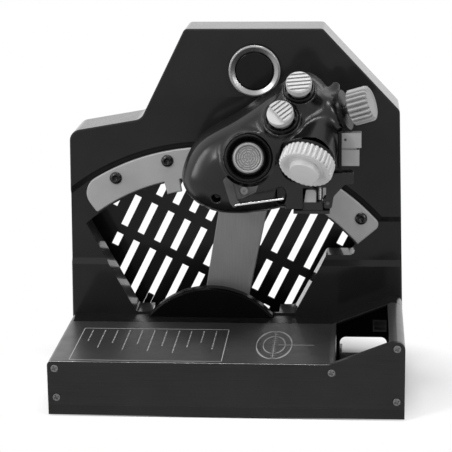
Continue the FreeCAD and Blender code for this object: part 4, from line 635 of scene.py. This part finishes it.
# Range knob with deep flutes and a dished light face
RANGE_KNOB = ((12.0, -8.0), (13.2, -7.2), (13.2, -5.0), (13.2, 5.4), (12.6, 7.2), (11.0, 8.0), (10.4, 7.9),
              (9.4, 7.3), (0.5, 7.2))
RANGE_FLUTES = flutes(20, (1.6, 2.6, 2.6, 2.6, 2.2, 0.0, 0.0, 0.0, 0.0), 1.6)
new_piece("range_fluted_knob", turned_mesh("range_fluted_knob", control_frame(*RANGE), RANGE_KNOB, 320,
                                           RANGE_FLUTES),
          "range_knob", "grey_knob", knob_plastic, "range_knob", smooth=False)

# Antenna wheel with bold flutes and a raised disc
WHEEL_PROFILE = ((3.1, -5.5), (18.2, -5.5), (19.2, -5.0), (19.8, -4.2), (19.8, 3.9), (19.3, 4.8), (18.6, 5.5),
                 (16.4, 5.5), (13.0, 4.0), (11.4, 4.4), (10.8, 8.6), (10.3, 9.0), (0.02, 9.0))
WHEEL_FLUTES = flutes(32, (0, 1.0, 1.7, 1.7, 1.7, 1.6, 0.7, 0, 0, 0, 0, 0, 0), 2)
new_piece("antenna_fluted_wheel", turned_mesh("antenna_fluted_wheel", control_frame(*WHEEL), WHEEL_PROFILE, 384,
                                              WHEEL_FLUTES),
          "antenna_wheel", "grey_knob", wheel_plastic, "antenna_wheel", smooth=False)


def web_mesh(name, place, radius):
    """Disc with a rounded rim and a sunk web of spokes and rings."""
    rows, parts = 64, 240
    spokes, rings = 8, 5
    rim = 0.80 * radius
    thickness = 3.0
    points, faces = [], []
    for row in range(rows + 1):
        r = radius * (0.01 + 0.99 * row / rows)
        for i in range(parts):
            angle = math.tau * i / parts
            if r > rim:
                share = (r - rim) / (radius - rim)
                height = 0.2 + 0.9 * math.sin(math.pi * min(1.0, 0.08 + 0.92 * share)) - 1.1 * share ** 4
            else:
                off_ring = abs(r / rim * rings - round(r / rim * rings)) * rim / rings
                turn = (angle - 0.2) * spokes / math.tau
                off_spoke = abs(turn - round(turn)) * math.tau / spokes * r
                line = max(1 - off_ring / 0.42, 1 - off_spoke / 0.45, 0)
                height = -0.3 + 0.25 * (1 - (r / rim) ** 2) - 0.7 * min(1, line * 1.8)
            points.append(polar_point(place, r, angle, height))
    points += [polar_point(place, radius, math.tau * i / parts, -thickness) for i in range(parts)]
    back = (rows + 1) * parts
    for start in range(0, back, parts):
        faces += [(a, d, c, b) for a, b, c, d in band_faces(start, start + parts, parts)]
    faces += [tuple(range(parts)), tuple(range(back, back + parts))[::-1]]
    return mesh_from(name, points, faces)


def reach_about(node, at, axis):
    """Furthest height along an axis and largest radius about it of a node, in mm."""
    way = Vector(axis).normalized()
    origin = grip_point(*at) * MM
    arms = [vertex.co - origin for vertex in nodes[node].data.vertices]
    return max(arm.dot(way) for arm in arms) / MM, max((arm - way * arm.dot(way)).length for arm in arms) / MM


# Cursor disc, whose rim ends level with the solid cap's
DISC_RISE = 1.1
disc_top, disc_radius = reach_about("cursor_cap", *CURSOR)
disc_place = control_frame(*CURSOR) @ Matrix.Translation((0, 0, (disc_top - DISC_RISE) * MM))
new_piece("cursor_web_disc", web_mesh("cursor_web_disc", disc_place, disc_radius), "cursor", "grey_knob",
          disc_plastic, "cursor_cap", smooth=False)


# Slide key in two levels with a band and a small hole across it
key_low, key_high = corners("slide_key")
key_span = key_high - key_low
band = key_low.z + 0.53 * key_span.z
hole_at = Vector(((key_low.x + key_high.x) / 2 - 0.8, key_low.y + 1, key_low.z + 0.80 * key_span.z))
key_hole = turned_mesh("key_hole", Matrix.Translation(hole_at * MM) @ FACING, ((0.9, -1.5), (0.9, 4.0)), 32)
key_blocks = blocks_mesh("slide_key_block", [
    (key_low + Vector((0.3, 0.6, 0)), (key_high.x - 1.4, key_high.y, band - 1.0)),
    (key_low + Vector((0, 1.4, 0.6)), (key_high.x - 3.4, key_high.y, key_high.z - 1.0)),
    ((key_low.x + 0.3, key_low.y, band + 0.6), (key_high.x, key_high.y - 0.4, key_high.z)),
])
new_piece("slide_key_block", cut_away(key_blocks, key_hole, True), "slide_key", "grey_knob", knob_plastic,
          "slide_key", smooth=False)


# ---------------------------------------------------------------- screws

def cross_screw(name, place, head):
    """Countersunk head with a cross recess, turned a little off upright."""
    profile = ((head * 0.55, -1.6), (head * 0.97, -0.4), (head, -0.05), (head * 0.96, 0.12), (head * 0.5, 0.2),
               (0.02, 0.22))
    shape = turned_mesh(name, place, profile, 48)
    long, wide = head * 0.66, head * 0.19
    plus = ((long, -wide), (long, wide), (wide, wide), (wide, long), (-wide, long), (-wide, wide),
            (-long, wide), (-long, -wide), (-wide, -wide), (-wide, -long), (wide, -long), (wide, -wide))
    turned = place @ Matrix.Rotation(0.4, 4, "Z")
    points = [turned @ (Vector((x, y, z)) * MM) for z in (-1.1, 1.0) for x, y in plus]
    count = len(plus)
    ends = [tuple(range(count))[::-1], tuple(range(count, 2 * count))]
    return cut_away(shape, mesh_from("cross", points, band_faces(0, count, count) + ends))


def islands(node):
    """Lowest and highest corners of each separate solid of a node."""
    mesh = bmesh.new()
    mesh.from_mesh(nodes[node].data)
    bmesh.ops.remove_doubles(mesh, verts=mesh.verts, dist=1e-6)
    left = set(mesh.verts)
    found = []
    while left:
        queue = [left.pop()]
        group = []
        while queue:
            vert = queue.pop()
            group.append(vert.co.copy())
            for side in vert.link_edges:
                other = side.other_vert(vert)
                if other in left:
                    left.remove(other)
                    queue.append(other)
        low = Vector([min(co[k] for co in group) for k in range(3)])
        high = Vector([max(co[k] for co in group) for k in range(3)])
        found.append((low, high))
    mesh.free()
    return sorted(found, key=lambda pair: tuple(pair[0]))


def screw_heads(node, depth):
    """Place and radius of each head of a node's screws, set a depth behind its front, in mm."""
    for low, high in islands(node):
        centre = (low + high) / 2
        yield Matrix.Translation((centre.x, low.y + depth * MM, centre.z)) @ FACING, (high.x - low.x) / 2 / MM


HEAD_SUNK = 0.2
heads = [cross_screw("front_screw", place, 0.86 * head)
         for place, head in screw_heads("front_panel_screws", HEAD_SUNK)]
new_piece("front_cross_screws", joined_mesh("front_cross_screws", heads), "base", "bright_screw", panel_screw,
          "front_panel_screws", smooth=False)

BUTTON_HEAD = 2.4
sockets = []
for place, head in screw_heads("detent_plate_screws", BUTTON_HEAD):
    profile = ((head * 0.9, -0.2), (head, 0.3), (head, 0.7), (0.93 * head, 1.2), (0.80 * head, 1.75),
               (0.60 * head, 2.2), (0.56 * head, 2.3), (0.50 * head, 2.15), (0.46 * head, 0.6), (0.02, 0.5))
    sockets.append(turned_mesh("socket_screw", place, profile, 60,
                               lambda angle, row: -0.12 * abs(math.sin(3 * angle)) if row > 6 else 0.0))
new_piece("plate_socket_screws", joined_mesh("plate_socket_screws", sockets), "base", "black_screw", black_screw,
          "detent_plate_screws", smooth=True)


# ---------------------------------------------------------------- button ring

BUTTON_CLEARANCE = 0.5
ring_low, ring_high = corners("countermeasure_ring")
button_low, button_high = corners("countermeasure_button")
ring_radius = (ring_high.z - ring_low.z) / 2
ring_at = Vector(((ring_low.x + ring_high.x) / 2, ring_low.y, (ring_low.z + ring_high.z) / 2))
inner = (button_high.z - button_low.z) / 2 + BUTTON_CLEARANCE
ring_profile = ((ring_radius, -2.9), (ring_radius, -0.9), (0.965 * ring_radius, -0.1), (0.925 * ring_radius, 0.0),
                (0.895 * ring_radius, -0.25), (inner + 0.5, -1.5), (inner, -1.9), (inner, -6.0),
                (ring_radius * 0.8, -6.0), (ring_radius * 0.8, -2.9))
new_piece("button_cone_ring", turned_mesh("button_cone_ring", Matrix.Translation(ring_at * MM) @ FACING,
                                          ring_profile, 128, hollow=True),
          "base", "bright_ring", ring_metal, "countermeasure_ring", smooth=False)


# ---------------------------------------------------------------- rear cover with its leaning slots

# Slots as (x, z) in mm, seen from the front: lengths of the three rows, the middle of the central slot, and the
# room behind the window that they keep to, with its round upper edge
SLOT_ROWS = (62.0, 28.3, 62.0)
SLOT_BRIDGE = 7.1
SLOT_WIDTH = 5.6
SLOT_PITCH = 14.9
SLOT_LEAN = math.radians(26.6)
SLOT_START = (-21.7, 82.6)
SLOT_COLUMNS = range(-8, 9)
ARC_MIDDLE = (-19.9, 1.4)
ARC_RADIUS = 156.0
SLOT_LEAST_X = -102.8
SLOT_LEAST_LENGTH = 5
ROOM = ((-84.0, 24.0), (50.0, 24.0), (78.0, 88.0), (101.0, 88.0), (101.0, 160.0), (-130.0, 160.0),
        (-130.0, 108.0))


def in_room(x, z):
    """Whether a place on the cover lies behind the window."""
    inside = False
    for (ax, az), (bx, bz) in zip(ROOM, ROOM[1:] + ROOM[:1]):
        if (az > z) != (bz > z) and x < (bx - ax) * (z - az) / (bz - az) + ax:
            inside = not inside
    return inside and math.hypot(x - ARC_MIDDLE[0], z - ARC_MIDDLE[1]) < ARC_RADIUS and x > SLOT_LEAST_X


def slot_outlines():
    """Leaning slots in three rows, each kept to the part behind the window."""
    along = Vector((math.sin(SLOT_LEAN), math.cos(SLOT_LEAN)))
    across = Vector((math.cos(SLOT_LEAN), -math.sin(SLOT_LEAN)))
    shift = (SLOT_ROWS[1] + SLOT_ROWS[0]) / 2 + SLOT_BRIDGE
    found = []
    for row, length in zip((-1, 0, 1), SLOT_ROWS):
        for column in SLOT_COLUMNS:
            centre = Vector(SLOT_START) + across * (column * SLOT_PITCH) + along * (row * shift)
            steps = [-length / 2 + k for k in range(int(length) + 1)]
            kept = [t for t in steps if in_room(*(centre + along * t))]
            if len(kept) < SLOT_LEAST_LENGTH:
                continue
            half = across * (SLOT_WIDTH / 2)
            a, b = centre + along * kept[0], centre + along * kept[-1]
            found.append([a - half, b - half, b + half, a + half])
    return found


def flat_loops(node):
    """Outlines of a plate's back face, the longest first, as (x, z) in mm."""
    plate = bmesh.new()
    plate.from_mesh(nodes[node].data)
    bmesh.ops.remove_doubles(plate, verts=plate.verts, dist=1e-6)
    top = max(vert.co.y for vert in plate.verts)
    face_set = [face for face in plate.faces if all(abs(vert.co.y - top) < 1e-5 for vert in face.verts)]
    chosen = set(face_set)
    border = [side for face in face_set for side in face.edges
              if sum(other in chosen for other in side.link_faces) == 1]
    links = {}
    for side in border:
        a, b = side.verts
        links.setdefault(a.index, []).append(b.index)
        links.setdefault(b.index, []).append(a.index)
    plate.verts.ensure_lookup_table()
    loops = []
    left = set(links)
    while left:
        first = left.pop()
        loop, current = [first], first
        while True:
            onward = [n for n in links[current] if n in left]
            if not onward:
                break
            current = onward[0]
            left.remove(current)
            loop.append(current)
        loops.append([Vector((plate.verts[i].co.x, plate.verts[i].co.z)) / MM for i in loop])
    plate.free()
    return sorted(loops, key=lambda loop: max(p.x for p in loop) - min(p.x for p in loop), reverse=True)


def plate_mesh(name, loops, y_low, y_high):
    """Upright plate inside the first loop, with the other loops as its holes."""
    curve = bpy.data.curves.new(name, "CURVE")
    curve.dimensions = "2D"
    curve.fill_mode = "BOTH"
    curve.extrude = (y_high - y_low) / 2 * MM
    for loop in loops:
        spline = curve.splines.new("POLY")
        spline.points.add(len(loop) - 1)
        for point, at in zip(spline.points, loop):
            point.co = (at.x * MM, at.y * MM, 0, 1)
        spline.use_cyclic_u = True
    holder = bpy.data.objects.new(name, curve)
    scene.collection.objects.link(holder)
    bpy.context.view_layer.update()
    mesh = bpy.data.meshes.new_from_object(holder.evaluated_get(bpy.context.evaluated_depsgraph_get()))
    bpy.data.objects.remove(holder)
    mesh.transform(Matrix.Translation((0, (y_low + y_high) / 2 * MM, 0)) @ FACING)
    whole = bmesh.new()
    whole.from_mesh(mesh)
    bmesh.ops.remove_doubles(whole, verts=whole.verts, dist=1e-7)
    bmesh.ops.recalc_face_normals(whole, faces=whole.faces)
    whole.to_mesh(mesh)
    whole.free()
    return mesh


def is_screw_hole(loop):
    wide = max(p.x for p in loop) - min(p.x for p in loop)
    tall = max(p.y for p in loop) - min(p.y for p in loop)
    return wide < 9 and tall < 9 and abs(tall - wide) < 0.5


rear_loops = flat_loops("rear_cover")
round_holes = [loop for loop in rear_loops[1:] if is_screw_hole(loop)]
cover_low, cover_high = corners("rear_cover")
new_piece("slotted_rear_cover", plate_mesh("slotted_rear_cover", rear_loops[:1] + round_holes + slot_outlines(),
                                           cover_low.y, cover_high.y),
          "base", "black_paint", paint, "rear_cover", smooth=False)


# ---------------------------------------------------------------- prints on the base's top

TOP_Z = 42.2
PRINT_THICK = 0.06
PRINT_SUNK = 0.02
LINE = 0.55
FRAME_LEFT, FRAME_RIGHT, FRAME_FRONT, FRAME_BACK = -115.5, -2.5, -80.5, -2.5
COLUMNS = 11
COLUMN_PITCH = 9.6
TICK_PITCH = 3.2
TICK_WIDTH = 0.9
TICK_LENGTHS = (1.4, 2.2, 1.0, 1.8)
DIAL_X, DIAL_Y, DIAL_RADIUS = 34.0, -39.0, 19.0
DIAL_WIDE, DIAL_TALL = 0.7, 1.75
DIAL_PARTS = 72
DIAL_LINE = 0.2
RAMP_FOOT_X = 78.9


def bar(x0, y0, x1, y1):
    """Corners of a printed bar on the base's top."""
    return ((x0, y0, TOP_Z - PRINT_SUNK), (x1, y1, TOP_Z + PRINT_THICK))


frame_bars = [bar(FRAME_LEFT, FRAME_FRONT, FRAME_RIGHT, FRAME_FRONT + LINE),
              bar(FRAME_LEFT, FRAME_BACK - LINE, FRAME_RIGHT, FRAME_BACK),
              bar(FRAME_LEFT, FRAME_FRONT, FRAME_LEFT + LINE, FRAME_BACK),
              bar(FRAME_RIGHT - LINE, FRAME_FRONT, FRAME_RIGHT, FRAME_BACK)]
for column in range(COLUMNS):
    x = FRAME_LEFT + 7.0 + column * COLUMN_PITCH
    for mark in range(9 + (column * 5) % 9):
        y = FRAME_BACK - 5.0 - mark * TICK_PITCH
        long = TICK_LENGTHS[(mark * 3 + column) % len(TICK_LENGTHS)]
        frame_bars.append(bar(x, y - long, x + TICK_WIDTH, y))
new_piece("base_print_frame", blocks_mesh("base_print_frame", frame_bars), "base", "grey_plate", print_ink,
          smooth=False)

# Bright metal strip along the front panel's upper edge, set there as a painted highlight of the bright line along
# that edge
panel_low, panel_high = corners("front_panel")
edge_highlight_strip = blocks_mesh("panel_edge_highlight_strip", [((panel_low.x + 1.5, panel_low.y + 0.15, TOP_Z - 0.3),
                                             (RAMP_FOOT_X, panel_low.y + 0.85, TOP_Z + 0.12))])
new_piece("panel_edge_highlight_strip", edge_highlight_strip, "base", "bright_screw", bright_screw, smooth=False)


def dial_point(radius, k):
    angle = math.tau * k / DIAL_PARTS
    return DIAL_X + DIAL_WIDE * radius * math.cos(angle), DIAL_Y + DIAL_TALL * radius * math.sin(angle)


# Two stretched rings, a row of short marks, and a long and a side line
dial_bars = []
for k in range(DIAL_PARTS):
    for radius in (DIAL_RADIUS, 0.62 * DIAL_RADIUS):
        (x0, y0), (x1, y1) = dial_point(radius, k), dial_point(radius, k + 1)
        dial_bars.append(bar(min(x0, x1) - DIAL_LINE, min(y0, y1) - DIAL_LINE,
                             max(x0, x1) + DIAL_LINE, max(y0, y1) + DIAL_LINE))
for k in range(13):
    y = DIAL_Y + (k - 6) * 5.0
    dial_bars.append(bar(DIAL_X - 1.8, y - DIAL_LINE, DIAL_X + 1.8, y + DIAL_LINE))
dial_bars.append(bar(DIAL_X - DIAL_LINE, DIAL_Y - 30, DIAL_X + DIAL_LINE, DIAL_Y + 30))
dial_bars.append(bar(DIAL_X + 3, DIAL_Y - 0.25, DIAL_X + 30, DIAL_Y + 0.25))
new_piece("base_print_dial", blocks_mesh("base_print_dial", dial_bars), "base", "grey_plate", print_ink,
          smooth=False)


# ---------------------------------------------------------------- stage, light and camera

def seen_directly(tree):
    """1 for what the camera, a mirror or a clear piece shows, 0 for what only lights the object."""
    path = tree.nodes.new("ShaderNodeLightPath")
    mirrored = maths(tree, "MAXIMUM", path.outputs["Is Glossy Ray"], path.outputs["Is Transmission Ray"])
    return maths(tree, "MAXIMUM", path.outputs["Is Camera Ray"], mirrored)


FLOOR_REACH = 6.0
WHITE_FROM_TO = (0.50, 0.80)   # distance from the middle, in shares of the object's width and depth


def floor_material():
    """Pale floor that keeps the object's shadow and turns pure white away from it."""
    material, tree, shader, coords = new_material("stage_floor")
    cloudy = mix_colour(tree, noise(tree, coords, 3.0, 2.0), grey(0.93), grey(0.95))
    tree.links.new(cloudy, shader.inputs["Base Color"])
    shader.inputs["Roughness"].default_value = 0.9
    shader.inputs["Specular IOR Level"].default_value = 0.1
    span = cad_high - cad_low
    flat = mapped(tree, coords, (1.0 / span.x, 1.0 / span.y, 0.0))
    length = tree.nodes.new("ShaderNodeVectorMath")
    length.operation = "LENGTH"
    tree.links.new(flat, length.inputs[0])
    away = ramp(tree, length.outputs["Value"], *WHITE_FROM_TO, 0.0, 1.0)
    white = tree.nodes.new("ShaderNodeEmission")
    blend = tree.nodes.new("ShaderNodeMixShader")
    tree.links.new(maths(tree, "MULTIPLY", away, seen_directly(tree)), blend.inputs[0])
    tree.links.new(shader.outputs[0], blend.inputs[1])
    tree.links.new(white.outputs[0], blend.inputs[2])
    tree.links.new(blend.outputs[0], tree.nodes["Material Output"].inputs["Surface"])
    return material


floor_mesh = bpy.data.meshes.new("floor")
floor_mesh.from_pydata([(x * FLOOR_REACH, y * FLOOR_REACH, 0) for x, y in ((-1, -1), (1, -1), (1, 1), (-1, 1))],
                       [], [(0, 1, 2, 3)])
floor = bpy.data.objects.new("floor", floor_mesh)
scene.collection.objects.link(floor)
floor_mesh.materials.append(floor_material())

world = bpy.data.worlds.new("studio")
scene.world = world
world.use_nodes = True
tree = world.node_tree
background = tree.nodes["Background"]
tree.links.new(mix_colour(tree, seen_directly(tree), grey(0.35), grey(1.0)), background.inputs["Color"])
background.inputs["Strength"].default_value = 1.0


def lamp(name, at, size, power):
    """Soft box that faces the middle of the object."""
    data = bpy.data.lights.new(name, "AREA")
    data.shape = "RECTANGLE"
    data.size, data.size_y = size
    data.energy = power
    holder = bpy.data.objects.new(name, data)
    scene.collection.objects.link(holder)
    holder.location = at
    holder.rotation_euler = ((cad_low + cad_high) / 2 - Vector(at)).to_track_quat("-Z", "Y").to_euler()


lamp("key_light", (-1.0, -1.0, 1.2), (0.26, 0.8), 15)
lamp("fill_light", (1.2, -0.9, 0.9), (0.16, 0.9), 8)
lamp("top_light", (0.05, -0.28, 1.6), (0.8, 0.18), 10)
lamp("left_strip", (-1.3, -0.3, 0.6), (0.12, 1.0), 6)


# ---------------------------------------------------------------- camera

CAMERA_AT = (0.09698, -1.2714, 0.44259)
CAMERA_YAW = math.radians(-4.56)
CAMERA_PITCH = math.radians(14.01)
CAMERA_ROLL = math.radians(-0.71)
CAMERA_LENS = 136.9
camera_data = bpy.data.cameras.new("camera")
camera_data.lens = CAMERA_LENS
camera_data.sensor_width = 36.0
camera = bpy.data.objects.new("camera", camera_data)
scene.collection.objects.link(camera)
forward = Vector((math.sin(CAMERA_YAW) * math.cos(CAMERA_PITCH), math.cos(CAMERA_YAW) * math.cos(CAMERA_PITCH),
                  -math.sin(CAMERA_PITCH)))
right = Vector((math.cos(CAMERA_YAW), -math.sin(CAMERA_YAW), 0))
up = right.cross(forward)
rolled_right = right * math.cos(CAMERA_ROLL) + up * math.sin(CAMERA_ROLL)
rolled_up = up * math.cos(CAMERA_ROLL) - right * math.sin(CAMERA_ROLL)
turn = Matrix((rolled_right, rolled_up, -forward)).transposed()
camera.matrix_world = Matrix.Translation(CAMERA_AT) @ turn.to_4x4()
scene.camera = camera
scene.view_settings.view_transform = "Standard"
